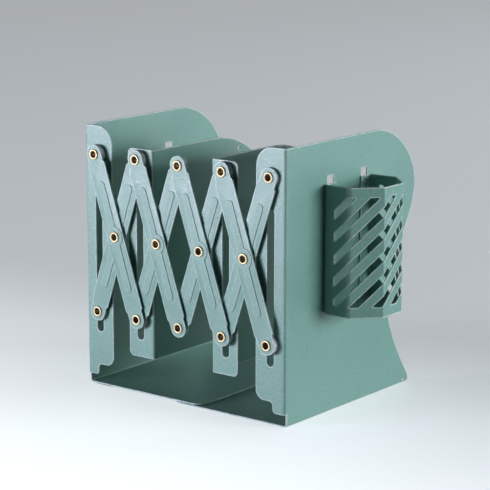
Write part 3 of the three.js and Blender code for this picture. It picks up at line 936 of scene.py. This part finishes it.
def cup_path():
    """The cup's plan at the middle of its wall: its runs and bends, and where it starts."""
    half = CUP_WALL / 2
    radius = CUP_FOLD - half
    quarter, eighth = math.pi / 2, math.pi / 4
    setback = radius * math.tan(eighth / 2)
    flange = CUP_FLANGE - CUP_FOLD
    side = CUP_SIDE - half * math.tan(eighth / 2) - CUP_FOLD - setback
    slanted = CUP_CHAMFER * math.sqrt(2) - 2 * half * math.tan(eighth / 2) - 2 * setback
    front = 2 * (CUP_HALF - CUP_CHAMFER) - 2 * half * math.tan(eighth / 2) - 2 * setback
    pieces = [
        (flange, 0), (radius * quarter, quarter), (side, 0), (radius * eighth, eighth), (slanted, 0),
        (radius * eighth, eighth), (front, 0), (radius * eighth, eighth), (slanted, 0),
        (radius * eighth, eighth), (side, 0), (radius * quarter, quarter), (flange, 0),
    ]
    return pieces, (half, CUP_FLANGE - CUP_HALF)


def cup_place(back, centre):
    """How the cup's blank lands round its folds."""
    pieces, start = cup_path()

    def place(flat):
        plan, heading = follow(flat[:, 0], pieces, start, -math.pi / 2)
        origin = np.column_stack((back + plan[:, 0], centre + plan[:, 1], flat[:, 1]))
        zero = np.zeros(len(flat))
        across = np.column_stack((np.cos(heading), np.sin(heading), zero))
        up = np.column_stack((zero, zero, zero + 1))
        inward = np.column_stack((-np.sin(heading), np.cos(heading), zero))
        return origin, across, up, inward

    return place


def trimmed(loop, low, high):
    """A convex outline cut to the heights between low and high."""
    for limit, sign in ((low, 1), (high, -1)):
        kept = []
        for i, here in enumerate(loop):
            there = loop[(i + 1) % len(loop)]
            within = sign * (here[1] - limit) >= 0
            if within:
                kept.append(here)
            if within != (sign * (there[1] - limit) >= 0):
                part = (limit - here[1]) / (there[1] - here[1])
                kept.append((here[0] + part * (there[0] - here[0]), limit))
        loop = kept
    return loop


def area_of(loop):
    """The area inside a loop that runs anticlockwise."""
    return sum(loop[i - 1][0] * loop[i][1] - loop[i][0] * loop[i - 1][1] for i in range(len(loop))) / 2


def cup_loops(bottom, top):
    """The blank of the cup, with its slanting slots and the windows that its hooks leave."""
    pieces, _ = cup_path()
    total = sum(run for run, _ in pieces)
    side_start = pieces[0][0] + pieces[1][0] - CUP_FOLD
    left = side_start + CUP_SLOT_SIDE
    right = total - left
    low, high = bottom + CUP_SLOT_FOOT, top - CUP_SLOT_TOP
    flange_end = pieces[0][0]
    corners = [
        (0, bottom + CUP_FOOT_CUT, CUP_CORNER_ROUND),
        (flange_end - CUP_FOOT_CUT, bottom + CUP_FOOT_CUT, CUP_CORNER_ROUND),
        (side_start + CUP_FOOT_CUT, bottom, CUP_CORNER_ROUND),
        (total - side_start - CUP_FOOT_CUT, bottom, CUP_CORNER_ROUND),
        (total - flange_end + CUP_FOOT_CUT, bottom + CUP_FOOT_CUT, CUP_CORNER_ROUND),
        (total, bottom + CUP_FOOT_CUT, CUP_CORNER_ROUND),
        (total, top, CUP_CORNER_ROUND),
        (0, top, CUP_CORNER_ROUND),
    ]
    loops = [rounded(corners)]
    climb = (right - left) * CUP_SLOT_SLOPE_SHARE
    start = top - CUP_SLOT_DROP
    while start + climb > low:
        foot = start - CUP_SLOT_RISE
        slot = [(left, foot), (right, foot + climb), (right, start + climb), (left, start)]
        slot = trimmed(slot, low, high)
        if len(slot) > 2 and area_of(slot) > SMALLEST_SLOT:
            loops.append(hole(rounded([(x, y, CUP_SLOT_ROUND) for x, y in slot])))
        start -= CUP_SLOT_PITCH
    neck = hook_neck()
    half = HOOK_WIDTH / 2 + HOOK_WINDOW_GAP
    middle = CUP_HALF - CUP_FLANGE - HOOK_HOLE_SPACING / 2
    low, high = neck - HOOK_DROP - CUP_WALL, neck + CUP_WALL / 2
    for centre in (-middle, total + middle):
        loops.append(hole(box_loop(centre - half, low, centre + half, high, CUP_SLOT_ROUND)))
    return loops


def hook_neck():
    """The height of the middle of a hook's neck, just over the lower edge of its hole."""
    return PANEL_HEIGHT - HOOK_HOLE_DROP - HOOK_HOLE_HEIGHT + CLEARANCE + CUP_WALL / 2


def cup_floor_loop():
    """The outline of the cup's floor, tucked inside its facets."""
    gap = CUP_WALL + CLEARANCE
    corner = gap * math.tan(math.pi / 8)
    half = CUP_HALF - gap
    side = CUP_SIDE - corner
    front = CUP_SIDE + CUP_CHAMFER - CUP_WALL
    narrow = CUP_HALF - CUP_CHAMFER - corner - CLEARANCE
    near = [(CLEARANCE, -half), (side, -half), (front, -narrow)]
    far = [(x, -y) for x, y in reversed(near)]
    return rounded([(x, y, CUP_CORNER_ROUND) for x, y in near + far])


def hook_place(back, middle, sheet):
    """How a hook's blank lands: down the flange, back through the panel, and down behind it."""
    radius = HOOK_ROUND - CUP_WALL / 2
    quarter = math.pi / 2
    behind = -(2 * CLEARANCE + sheet) - CUP_WALL / 2
    neck_run = CUP_WALL / 2 - behind - 2 * radius
    bend = radius * quarter
    pieces = [(CUP_WALL, 0), (bend, -quarter), (neck_run, 0), (bend, quarter), (HOOK_DROP, 0)]
    start = (CUP_WALL / 2, hook_neck() + radius + CUP_WALL)

    def place(flat):
        profile, heading = follow(flat[:, 1], pieces, start, -quarter)
        origin = np.column_stack((back + profile[:, 0], middle + flat[:, 0], profile[:, 1]))
        zero = np.zeros(len(flat))
        across = np.column_stack((zero, zero + 1, zero))
        down = np.column_stack((np.cos(heading), zero, np.sin(heading)))
        inward = np.column_stack((-np.sin(heading), zero, np.cos(heading)))
        return origin, across, down, inward

    return place, pieces


# Shared node groups


def feed(tree, node, values):
    """Gives a node's inputs a number, a colour or a link from another socket, each by name or place."""
    for key, value in values.items():
        socket = node.inputs[key]
        if isinstance(value, bpy.types.NodeSocket):
            tree.links.new(value, socket)
        elif socket.type == "RGBA":
            socket.default_value = (*value, 1)
        else:
            socket.default_value = value


def math_node(tree, operation, *values, clamp=False):
    """A math node on up to three values, each a socket or a number."""
    node = tree.nodes.new("ShaderNodeMath")
    node.operation = operation
    node.use_clamp = clamp
    feed(tree, node, dict(enumerate(values)))
    return node.outputs[0]


def noise_node(tree, vector, scale, detail, roughness):
    """A noise value at a scale."""
    node = tree.nodes.new("ShaderNodeTexNoise")
    feed(tree, node, {"Vector": vector, "Scale": scale, "Detail": detail, "Roughness": roughness})
    return node.outputs["Fac"]


def ramp_node(tree, value, low, high):
    """A value stretched so that low becomes 0 and high 1."""
    node = tree.nodes.new("ShaderNodeMapRange")
    node.interpolation_type = "SMOOTHSTEP"
    feed(tree, node, {"Value": value, "From Min": low, "From Max": high})
    return node.outputs["Result"]


def mixed_colour(tree, factor, first, second):
    """One colour over another by a factor. Each colour is a socket or a plain colour."""
    node = tree.nodes.new("ShaderNodeMix")
    node.data_type = "RGBA"
    below, above = (i for i, socket in enumerate(node.inputs) if socket.type == "RGBA")
    feed(tree, node, {"Factor": factor, below: first, above: second})
    return next(socket for socket in node.outputs if socket.type == "RGBA")


def shared_group(name, numbers, outputs, fill):
    """A shader node group made once: a vector and named numbers go in, named values come out."""
    group = bpy.data.node_groups.get(name)
    if group is None:
        group = bpy.data.node_groups.new(name, "ShaderNodeTree")
        group.interface.new_socket(name="Vector", in_out="INPUT", socket_type="NodeSocketVector")
        for label, default in numbers.items():
            socket = group.interface.new_socket(name=label, in_out="INPUT", socket_type="NodeSocketFloat")
            socket.default_value = default
        for label in outputs:
            group.interface.new_socket(name=label, in_out="OUTPUT", socket_type="NodeSocketFloat")
        given = group.nodes.new("NodeGroupInput").outputs
        feed(group, group.nodes.new("NodeGroupOutput"), fill(group, given))
    return group


def grain_group():
    """Fine texture of a coat or a moulding: a height, and speckles of colour."""

    def fill(group, given):
        scale = math_node(group, "DIVIDE", 1.0, given["Grain Size"])
        fine = noise_node(group, given["Vector"], scale, *FINE_NOISE)
        coarse_scale = math_node(group, "MULTIPLY", scale, COARSE_SCALE)
        coarse = noise_node(group, given["Vector"], coarse_scale, *COARSE_NOISE)
        height = math_node(group, "MULTIPLY_ADD", coarse, COARSE_SHARE, fine)
        return {"Height": height, "Speckle": ramp_node(group, fine, *SPECKLE_PART)}

    return shared_group("fine_grain", {"Grain Size": 0.4 * MM}, ("Height", "Speckle"), fill)


def drift_group():
    """Slow change of tone over a surface, in patches, with finer smudges."""

    def fill(group, given):
        scale = math_node(group, "DIVIDE", 1.0, given["Patch Size"])
        slow = noise_node(group, given["Vector"], scale, *SLOW_NOISE)
        smudge_scale = math_node(group, "MULTIPLY", scale, SMUDGE_SCALE)
        smudge = noise_node(group, given["Vector"], smudge_scale, *SMUDGE_NOISE)
        return {
            "Tone": ramp_node(group, slow, *TONE_PART),
            "Smudge": ramp_node(group, smudge, *SMUDGE_PART),
        }

    return shared_group("tone_drift", {"Patch Size": 30 * MM}, ("Tone", "Smudge"), fill)


def wear_and_highlight_group():
    """Pale coat along cut edges, folds and ribs, broken up so that it isn't even: thinned coat and a
    painted highlight on the edges, only a painted highlight on the folds and ribs.
    """

    def fill(group, given):
        scale = math_node(group, "DIVIDE", 1.0, given["Breakup Size"])
        broken = noise_node(group, given["Vector"], scale, *FINE_NOISE)
        shown = ramp_node(group, broken, *BREAKUP_PART)
        part = math_node(group, "MULTIPLY_ADD", shown, BREAKUP_SHARE, 1 - BREAKUP_SHARE)
        near = ramp_node(group, given["Edge"], *EDGE_PART)
        mask = math_node(group, "MULTIPLY", near, part)
        return {"Mask": math_node(group, "MULTIPLY", mask, given["Amount"], clamp=True)}

    numbers = {"Edge": 0.0, "Breakup Size": 4 * MM, "Amount": 0.7}
    return shared_group("edge_wear", numbers, ("Mask",), fill)


def placed(tree, group, vector, values):
    """What a shared group puts out when it is placed in a material with its own values."""
    node = tree.nodes.new("ShaderNodeGroup")
    node.node_tree = group
    feed(tree, node, {"Vector": vector, **values})
    return node.outputs


# Materials


def new_material(name):
    """A bare principled material. Returns it, its tree, its shader and the object's coordinates."""
    material = bpy.data.materials.new(name)
    material.use_nodes = True
    tree = material.node_tree
    tree.nodes.clear()
    shader = tree.nodes.new("ShaderNodeBsdfPrincipled")
    output = tree.nodes.new("ShaderNodeOutputMaterial")
    tree.links.new(shader.outputs["BSDF"], output.inputs["Surface"])
    return material, tree, shader, tree.nodes.new("ShaderNodeTexCoord").outputs["Object"]


def grain_and_drift(tree, coordinates, look):
    """What the grain and drift groups put out at the sizes of a look."""
    return (
        placed(tree, grain_group(), coordinates, {"Grain Size": look.grain}),
        placed(tree, drift_group(), coordinates, {"Patch Size": look.patch}),
    )


def marked(tree, name):
    """A mark that a mesh carries on its points."""
    node = tree.nodes.new("ShaderNodeAttribute")
    node.attribute_name = name
    return node.outputs["Fac"]


def bumped(tree, height, strength, distance):
    """A normal that follows a height."""
    bump = tree.nodes.new("ShaderNodeBump")
    feed(tree, bump, {"Strength": strength, "Distance": distance, "Height": height})
    return bump.outputs["Normal"]


def paint_material(name, finishes):
    """Satin powder coat, with a fine texture, slow changes of tone and a paler edge that is partly thinned
    coat and partly a painted highlight, with painted highlights on folds and ribs.
    """
    material, tree, shader, coordinates = new_material(name)
    base = Vector(finishes.paint)
    grain, drift = grain_and_drift(tree, coordinates, PAINT)
    # pale coat mask: thinned coat and painted highlight on cut edges, painted highlight on folds and ribs
    wear_and_highlight = placed(tree, wear_and_highlight_group(), coordinates, {
        "Edge": marked(tree, "worn_edge"), "Breakup Size": PAINT_BREAKUP, "Amount": finishes.wear_and_highlight})
    dark, light = PAINT_TONES
    toned = mixed_colour(tree, drift["Tone"], base * dark, base * light)
    specks = math_node(tree, "MULTIPLY", grain["Speckle"], SPECK_SHARE)
    specked = mixed_colour(tree, specks, toned, base * SPECK_TONE)
    polished = math_node(tree, "MULTIPLY_ADD", drift["Smudge"], SMUDGE_POLISH, PAINT.roughness)
    feed(tree, shader, {
        "Base Color": mixed_colour(tree, wear_and_highlight["Mask"], specked, finishes.edge_wear_and_highlight_colour),
        "Roughness": math_node(tree, "MULTIPLY_ADD", grain["Speckle"], SPECK_MATTING, polished),
        "Specular IOR Level": PAINT_SPECULAR,
        "Normal": bumped(tree, grain["Height"], PAINT.depth * finishes.grain_depth, PAINT.height),
    })
    return material


def brass_material(name, finishes):
    """Rolled brass, duller in patches, with painted shade in its bore."""
    material, tree, shader, coordinates = new_material(name)
    grain, drift = grain_and_drift(tree, coordinates, BRASS)
    bore = marked(tree, "in_bore")
    # dull brass patches, plus painted shade in the bore
    dulling_and_bore_shade = math_node(tree, "MULTIPLY_ADD", drift["Smudge"], BRASS_SMUDGE, bore, clamp=True)
    feed(tree, shader, {
        "Base Color": mixed_colour(tree, dulling_and_bore_shade, finishes.brass, finishes.tarnish_and_bore_shade),
        "Metallic": 1,
        "Roughness": math_node(tree, "MULTIPLY_ADD", drift["Tone"], BRASS_DULLING, BRASS.roughness),
        "Normal": bumped(tree, grain["Height"], BRASS.depth, BRASS.height),
    })
    return material


def nylon_material(name, finishes):
    """Matt warm grey nylon, paler in patches and in fine specks from rubbing."""
    material, tree, shader, coordinates = new_material(name)
    grain, drift = grain_and_drift(tree, coordinates, NYLON)
    toned = mixed_colour(tree, drift["Tone"], Vector(finishes.nylon) * NYLON_DARK, finishes.nylon_edge)
    pale_share = math_node(tree, "MULTIPLY", grain["Speckle"], NYLON_RUBBED)
    feed(tree, shader, {
        "Base Color": mixed_colour(tree, pale_share, toned, finishes.nylon_edge),
        "Roughness": NYLON.roughness,
        "Normal": bumped(tree, grain["Height"], NYLON.depth, NYLON.height),
    })
    return material


def foam_material(name, finishes):
    """Closed-cell foam with fine pores."""
    material, tree, shader, coordinates = new_material(name)
    base = Vector(finishes.foam)
    grain, drift = grain_and_drift(tree, coordinates, FOAM)
    dark, light = FOAM_TONES
    toned = mixed_colour(tree, drift["Tone"], base * dark, base * light)
    feed(tree, shader, {
        "Base Color": mixed_colour(tree, grain["Speckle"], toned, base * PORE_TONE),
        "Roughness": FOAM.roughness,
        "Normal": bumped(tree, grain["Height"], FOAM.depth, FOAM.height),
    })
    return material


# The name and the maker of each slot's material
FINISHES = {
    "sage_paint": ("sage_powder_coat", paint_material),
    "brass_eyelet": ("bright_brass", brass_material),
    "grey_washer": ("grey_nylon", nylon_material),
    "foam_pad": ("closed_cell_foam", foam_material),
}


def finish_of(slot, finishes):
    """The material of a slot, made once."""
    name, make = FINISHES[slot]
    return bpy.data.materials.get(name) or make(name, finishes)


def add_piece(context, mesh, slot, node, stands_in=True):
    """Puts a mesh in the scene in its finish, on the body of its node, which it mostly stands in for."""
    piece = bpy.data.objects.new(mesh.name, mesh)
    context.scene.collection.objects.link(piece)
    mesh.materials.append(finish_of(slot, context.scene.bookend_finishes))
    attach(piece, frame["nodes"][node]["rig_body"])
    if stands_in:
        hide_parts(node)
    return piece


# Operators


class BOOKEND_OT_end_panels(bpy.types.Operator):
    """Build the two end panels, each one folded sheet with a wall, a flange and a base plate"""

    bl_idname = "bookend.end_panels"
    bl_label = "End panels"
    bl_options = {"REGISTER", "UNDO"}

    def execute(self, context):
        sizes = context.scene.bookend_sheets
        front_lines = front_bend_lines(sizes, FLANGE_FOOT - OVERRUN, PANEL_HEIGHT + OVERRUN)
        for name, node, outer, side, foot in (
            ("end_sheet_left", "left_end_panel", LEFT_LOW.x, 1, LEFT_LOW.z),
            ("end_sheet_right", "right_end_panel", RIGHT_HIGH.x, -1, RIGHT_LOW.z),
        ):
            # the folds carry a painted highlight
            mesh = sheet_mesh(
                name, end_panel_loops(sizes, foot), sizes.thickness, sizes.edge_round,
                folded_panel(sizes, outer, side, foot),
                front_lines + base_bend_lines(sizes, foot), pale_share=highlit_folds(sizes, foot))
            add_piece(context, mesh, "sage_paint", node)
        return {"FINISHED"}


class BOOKEND_OT_dividers(bpy.types.Operator):
    """Build the two hanging dividers, each one folded sheet"""

    bl_idname = "bookend.dividers"
    bl_label = "Dividers"
    bl_options = {"REGISTER", "UNDO"}

    def execute(self, context):
        sizes = context.scene.bookend_sheets
        low, high = DIVIDER_LOW.z, DIVIDER_HIGH.z
        depth = DIVIDER_HIGH.y - DIVIDER_LOW.y
        for name, node, outer, side in (
            ("divider_sheet_left", "left_divider", DIVIDER_HIGH.x, -1),
            ("divider_sheet_right", "right_divider", RIGHT_DIVIDER_LOW.x, 1),
        ):
            # the fold carries a painted highlight
            mesh = sheet_mesh(
                name, divider_loops(sizes, low, high, depth), sizes.thickness, sizes.edge_round,
                folded_panel(sizes, outer, side),
                front_bend_lines(sizes, low - OVERRUN, high + OVERRUN), pale_share=highlit_folds(sizes))
            add_piece(context, mesh, "sage_paint", node)
        return {"FINISHED"}


class BOOKEND_OT_links(bpy.types.Operator):
    """Build the eight pressed links of the scissor linkage"""

    bl_idname = "bookend.links"
    bl_label = "Scissor links"
    bl_options = {"REGISTER", "UNDO"}

    def execute(self, context):
        sizes = context.scene.bookend_sheets
        # the rib and boss carry a painted highlight
        relief, pale_share, lines = link_relief(sizes)
        for cell in range(CELLS):
            for row, top, bottom in (
                ("front", TOP[cell], BOTTOM[cell + 1]),
                ("back", TOP[cell + 1], BOTTOM[cell]),
            ):
                node = f"{row}_link_{cell + 1}"
                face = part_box(node)[1].y - LINK_THICKNESS
                mesh = sheet_mesh(
                    f"{row}_strip_{cell + 1}", link_loops(), LINK_THICKNESS, sizes.edge_round,
                    link_place(top, bottom, face), lines, relief, pale_share)
                add_piece(context, mesh, "sage_paint", node)
        return {"FINISHED"}


class BOOKEND_OT_eyelets(bpy.types.Operator):
    """Build the rolled brass eyelets of all the pivots"""

    bl_idname = "bookend.eyelets"
    bl_label = "Eyelets"
    bl_options = {"REGISTER", "UNDO"}

    def execute(self, context):
        sizes = context.scene.bookend_fittings
        for node in sorted(n for n in frame["nodes"] if "eyelet" in n):
            low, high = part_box(node)
            centre = (low + high) / 2
            profile = eyelet_profile(sizes, low.y, high.y)
            mesh = turned_mesh(node.replace("eyelet", "rivet"), profile, centre, EYELET_CREASE)
            # painted shade in the bore
            mark_bore_shade(mesh, centre, sizes.bore_radius + SAME_PLACE)
            add_piece(context, mesh, "brass_eyelet", node)
        return {"FINISHED"}


class BOOKEND_OT_washers(bpy.types.Operator):
    """Build the washers and spacers between the links and the flanges"""

    bl_idname = "bookend.washers"
    bl_label = "Washers and spacers"
    bl_options = {"REGISTER", "UNDO"}

    def execute(self, context):
        sizes = context.scene.bookend_fittings
        for node in sorted(n for n in frame["nodes"] if "washer" in n or "spacer" in n):
            low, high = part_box(node)
            profile = washer_profile(sizes, sizes.washer_bore, (high.x - low.x) / 2, low.y, high.y)
            mesh = turned_mesh(f"{node}_stack", profile, (low + high) / 2, WASHER_CREASE)
            add_piece(context, mesh, "grey_washer", node)
        return {"FINISHED"}


class BOOKEND_OT_pen_cup(bpy.types.Operator):
    """Build the slotted pen cup with its hooks and floor"""

    bl_idname = "bookend.pen_cup"
    bl_label = "Pen cup"
    bl_options = {"REGISTER", "UNDO"}

    def execute(self, context):
        sizes = context.scene.bookend_sheets
        back = RIGHT_HIGH.x + CLEARANCE
        centre = (CUP_LOW.y + CUP_HIGH.y) / 2
        bottom, top = CUP_LOW.z, CUP_HIGH.z
        shell = sheet_mesh(
            "cup_shell", cup_loops(bottom, top), CUP_WALL, sizes.edge_round, cup_place(back, centre),
            path_bend_lines(cup_path()[0], bottom - OVERRUN, top + OVERRUN))
        add_piece(context, shell, "sage_paint", "pen_cup")
        for side, end in ((-1, "front"), (1, "rear")):
            middle = centre + side * HOOK_HOLE_SPACING / 2
            place, pieces = hook_place(back, middle, sizes.thickness)
            total = sum(run for run, _ in pieces)
            loop = box_loop(-HOOK_WIDTH / 2, 0, HOOK_WIDTH / 2, total, HOOK_ROUND)
            lines = crossed(path_bend_lines(pieces, -HOOK_WIDTH, HOOK_WIDTH))
            hook = sheet_mesh(f"cup_hook_{end}", [loop], CUP_WALL, sizes.edge_round, place, lines)
            add_piece(context, hook, "sage_paint", "pen_cup", stands_in=False)
        place = level_place(bottom + CUP_FLOOR_LIFT + CUP_WALL / 2, back, centre)
        floor = sheet_mesh("cup_floor", [cup_floor_loop()], CUP_WALL, sizes.edge_round, place)
        add_piece(context, floor, "sage_paint", "pen_cup", stands_in=False)
        return {"FINISHED"}


class BOOKEND_OT_pads(bpy.types.Operator):
    """Build the two thin foam pads under the left base plate"""

    bl_idname = "bookend.pads"
    bl_label = "Foam pads"
    bl_options = {"REGISTER", "UNDO"}

    def execute(self, context):
        sizes = context.scene.bookend_fittings
        for end in ("front", "rear"):
            node = f"left_pad_{end}"
            low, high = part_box(node)
            outline = box_loop(low.x, low.y, high.x, high.y, sizes.pad_round)
            mesh = sheet_mesh(
                f"foam_pad_{end}", [outline], high.z - low.z, PAD_EDGE_ROUND,
                level_place((low.z + high.z) / 2))
            add_piece(context, mesh, "foam_pad", node)
        return {"FINISHED"}


# Stage


def sweep_mesh():
    """A round floor that sweeps up into a backdrop on all sides, just under the object's feet."""
    profile = [(FLOOR_REACH - SWEEP_RADIUS, 0)]
    for i in range(SWEEP_STEPS + 1):
        turn = math.pi / 2 * i / SWEEP_STEPS
        rise = SWEEP_RADIUS * (1 - math.cos(turn))
        profile.append((FLOOR_REACH + SWEEP_RADIUS * math.sin(turn), rise))
    profile.append((FLOOR_REACH + SWEEP_RADIUS, BACKDROP_HEIGHT))
    angles = [2 * math.pi * i / TURN_STEPS for i in range(TURN_STEPS)]
    points = [(r * math.cos(a), r * math.sin(a), z - FLOOR_DROP) for r, z in profile for a in angles]
    faces = [tuple(range(TURN_STEPS))]
    for first in range(0, len(points) - TURN_STEPS, TURN_STEPS):
        for i in range(TURN_STEPS):
            after = (i + 1) % TURN_STEPS
            faces.append((first + i, first + TURN_STEPS + i, first + TURN_STEPS + after, first + after))
    mesh = bpy.data.meshes.new("floor_sweep")
    mesh.from_pydata(points, [], faces)
    mesh.shade_smooth()
    return mesh


def floor_material(studio):
    """Matt pale floor, a little uneven. It looks pale but throws little light back on the object."""
    material, tree, shader, coordinates = new_material("pale_floor")
    drift = placed(tree, drift_group(), coordinates, {"Patch Size": FLOOR_PATCH})
    base = Vector(studio.floor)
    pale = mixed_colour(tree, drift["Tone"], base * FLOOR_DARK, base)
    ray = tree.nodes.new("ShaderNodeLightPath").outputs
    clear = math_node(tree, "MAXIMUM", ray["Is Glossy Ray"], ray["Is Transmission Ray"])
    seen = math_node(tree, "MAXIMUM", ray["Is Camera Ray"], clear)
    split = tree.nodes.new("ShaderNodeSeparateXYZ")
    feed(tree, split, {"Vector": coordinates})
    raised = ramp_node(tree, split.outputs["Z"], *BACKDROP_FADE)
    near = ramp_node(tree, split.outputs["Y"], *FLOOR_FADE)
    graded = mixed_colour(tree, raised, pale, base * studio.backdrop)
    far_level = studio.floor_glow * studio.far_glow
    near_level = studio.floor_glow * (1 - studio.far_glow)
    level = math_node(tree, "MULTIPLY_ADD", near, near_level, far_level)
    glow = math_node(tree, "MULTIPLY", seen, math_node(tree, "SUBTRACT", 1.0, raised))
    feed(tree, shader, {
        "Base Color": mixed_colour(tree, seen, base * studio.bounce, graded),
        "Emission Color": studio.glow_tint,
        "Emission Strength": math_node(tree, "MULTIPLY", glow, level),
        "Roughness": FLOOR_ROUGHNESS,
    })
    return material


def add_lamp(context, name, power, tint=(1, 1, 1)):
    """A soft lamp that faces the object, with its place counted round the object from the front."""
    degrees_round, degrees_up, width, height = LAMPS[name]
    turn, rise = math.radians(degrees_round), math.radians(degrees_up)
    data = bpy.data.lights.new(name, "AREA")
    data.shape = "RECTANGLE"
    data.size = width
    data.size_y = height
    data.energy = power
    data.color = tint
    lamp = bpy.data.objects.new(name, data)
    context.scene.collection.objects.link(lamp)
    away = Vector((math.sin(turn) * math.cos(rise), -math.cos(turn) * math.cos(rise), math.sin(rise)))
    lamp.location = Vector((0, 0, PANEL_HEIGHT / 2)) + away * LAMP_DISTANCE
    lamp.rotation_euler = away.to_track_quat("Z", "Y").to_euler()


def add_sky(scene, studio):
    """Faint even light all round."""
    scene.world = bpy.data.worlds.new("studio_sky")
    scene.world.use_nodes = True
    tree = scene.world.node_tree
    tree.nodes.clear()
    light = tree.nodes.new("ShaderNodeBackground")
    feed(tree, light, {"Color": studio.sky_tint, "Strength": studio.sky})
    output = tree.nodes.new("ShaderNodeOutputWorld")
    tree.links.new(light.outputs["Background"], output.inputs["Surface"])


def add_camera(scene, studio):
    """The camera at the photograph's viewing angle."""
    data = bpy.data.cameras.new("photo_camera")
    data.sensor_width = SENSOR_WIDTH
    data.lens = studio.lens
    camera = bpy.data.objects.new("photo_camera", data)
    scene.collection.objects.link(camera)
    turn, tilt = studio.azimuth, studio.elevation
    forward = Vector((
        -math.sin(turn) * math.cos(tilt), math.cos(turn) * math.cos(tilt), -math.sin(tilt)))
    right = forward.cross(Vector((0, 0, 1))).normalized()
    up = right.cross(forward)
    rolled = right * math.cos(studio.roll) + up * math.sin(studio.roll)
    basis = Matrix((rolled, rolled.cross(forward), -forward)).transposed()
    camera.matrix_world = Matrix.Translation(studio.camera_place) @ basis.to_4x4()
    scene.camera = camera


class BOOKEND_OT_stage(bpy.types.Operator):
    """Build the floor, the lamps, the sky and the camera"""

    bl_idname = "bookend.stage"
    bl_label = "Studio stage"
    bl_options = {"REGISTER", "UNDO"}

    def execute(self, context):
        scene, studio = context.scene, context.scene.bookend_studio
        floor = bpy.data.objects.new("floor_sweep", sweep_mesh())
        floor.data.materials.append(floor_material(studio))
        scene.collection.objects.link(floor)
        add_lamp(context, "key_lamp", studio.key, studio.key_tint)
        add_lamp(context, "sheen_lamp", studio.sheen, studio.key_tint)
        add_lamp(context, "fill_lamp", studio.fill, studio.fill_tint)
        add_lamp(context, "back_lamp", studio.back)
        add_sky(scene, studio)
        add_camera(scene, studio)
        scene.view_settings.view_transform = "Standard"
        return {"FINISHED"}


class BOOKEND_PT_parts(bpy.types.Panel):
    """Lists the parts of the bookend and their sizes"""

    bl_idname = "BOOKEND_PT_parts"
    bl_label = "Expandable bookend"
    bl_space_type = "VIEW_3D"
    bl_region_type = "UI"
    bl_category = "Bookend"

    def draw(self, context):
        for operator in OPERATORS:
            self.layout.operator(operator.bl_idname)
        for name, settings in SETTINGS.items():
            column = self.layout.column(align=True)
            for label in settings.__annotations__:
                column.prop(getattr(context.scene, name), label)


SETTINGS = {
    "bookend_sheets": BookendSheetSizes,
    "bookend_fittings": BookendFittingSizes,
    "bookend_finishes": BookendFinishes,
    "bookend_studio": BookendStudio,
}
OPERATORS = (
    BOOKEND_OT_end_panels,
    BOOKEND_OT_dividers,
    BOOKEND_OT_links,
    BOOKEND_OT_eyelets,
    BOOKEND_OT_washers,
    BOOKEND_OT_pen_cup,
    BOOKEND_OT_pads,
    BOOKEND_OT_stage,
)
CLASSES = (*SETTINGS.values(), *OPERATORS, BOOKEND_PT_parts)


def register():
    """Adds the classes and their settings to Blender."""
    for cls in CLASSES:
        bpy.utils.register_class(cls)
    for name, cls in SETTINGS.items():
        setattr(bpy.types.Scene, name, bpy.props.PointerProperty(type=cls))


def unregister():
    """Takes the settings and the classes away again."""
    for name in SETTINGS:
        delattr(bpy.types.Scene, name)
    for cls in reversed(CLASSES):
        bpy.utils.unregister_class(cls)


def main():
    """Builds every part in order."""
    register()
    bpy.ops.bookend.end_panels()
    bpy.ops.bookend.dividers()
    bpy.ops.bookend.links()
    bpy.ops.bookend.eyelets()
    bpy.ops.bookend.washers()
    bpy.ops.bookend.pen_cup()
    bpy.ops.bookend.pads()
    bpy.ops.bookend.stage()
    bpy.context.view_layer.update()


if __name__ == "__main__":
    main()
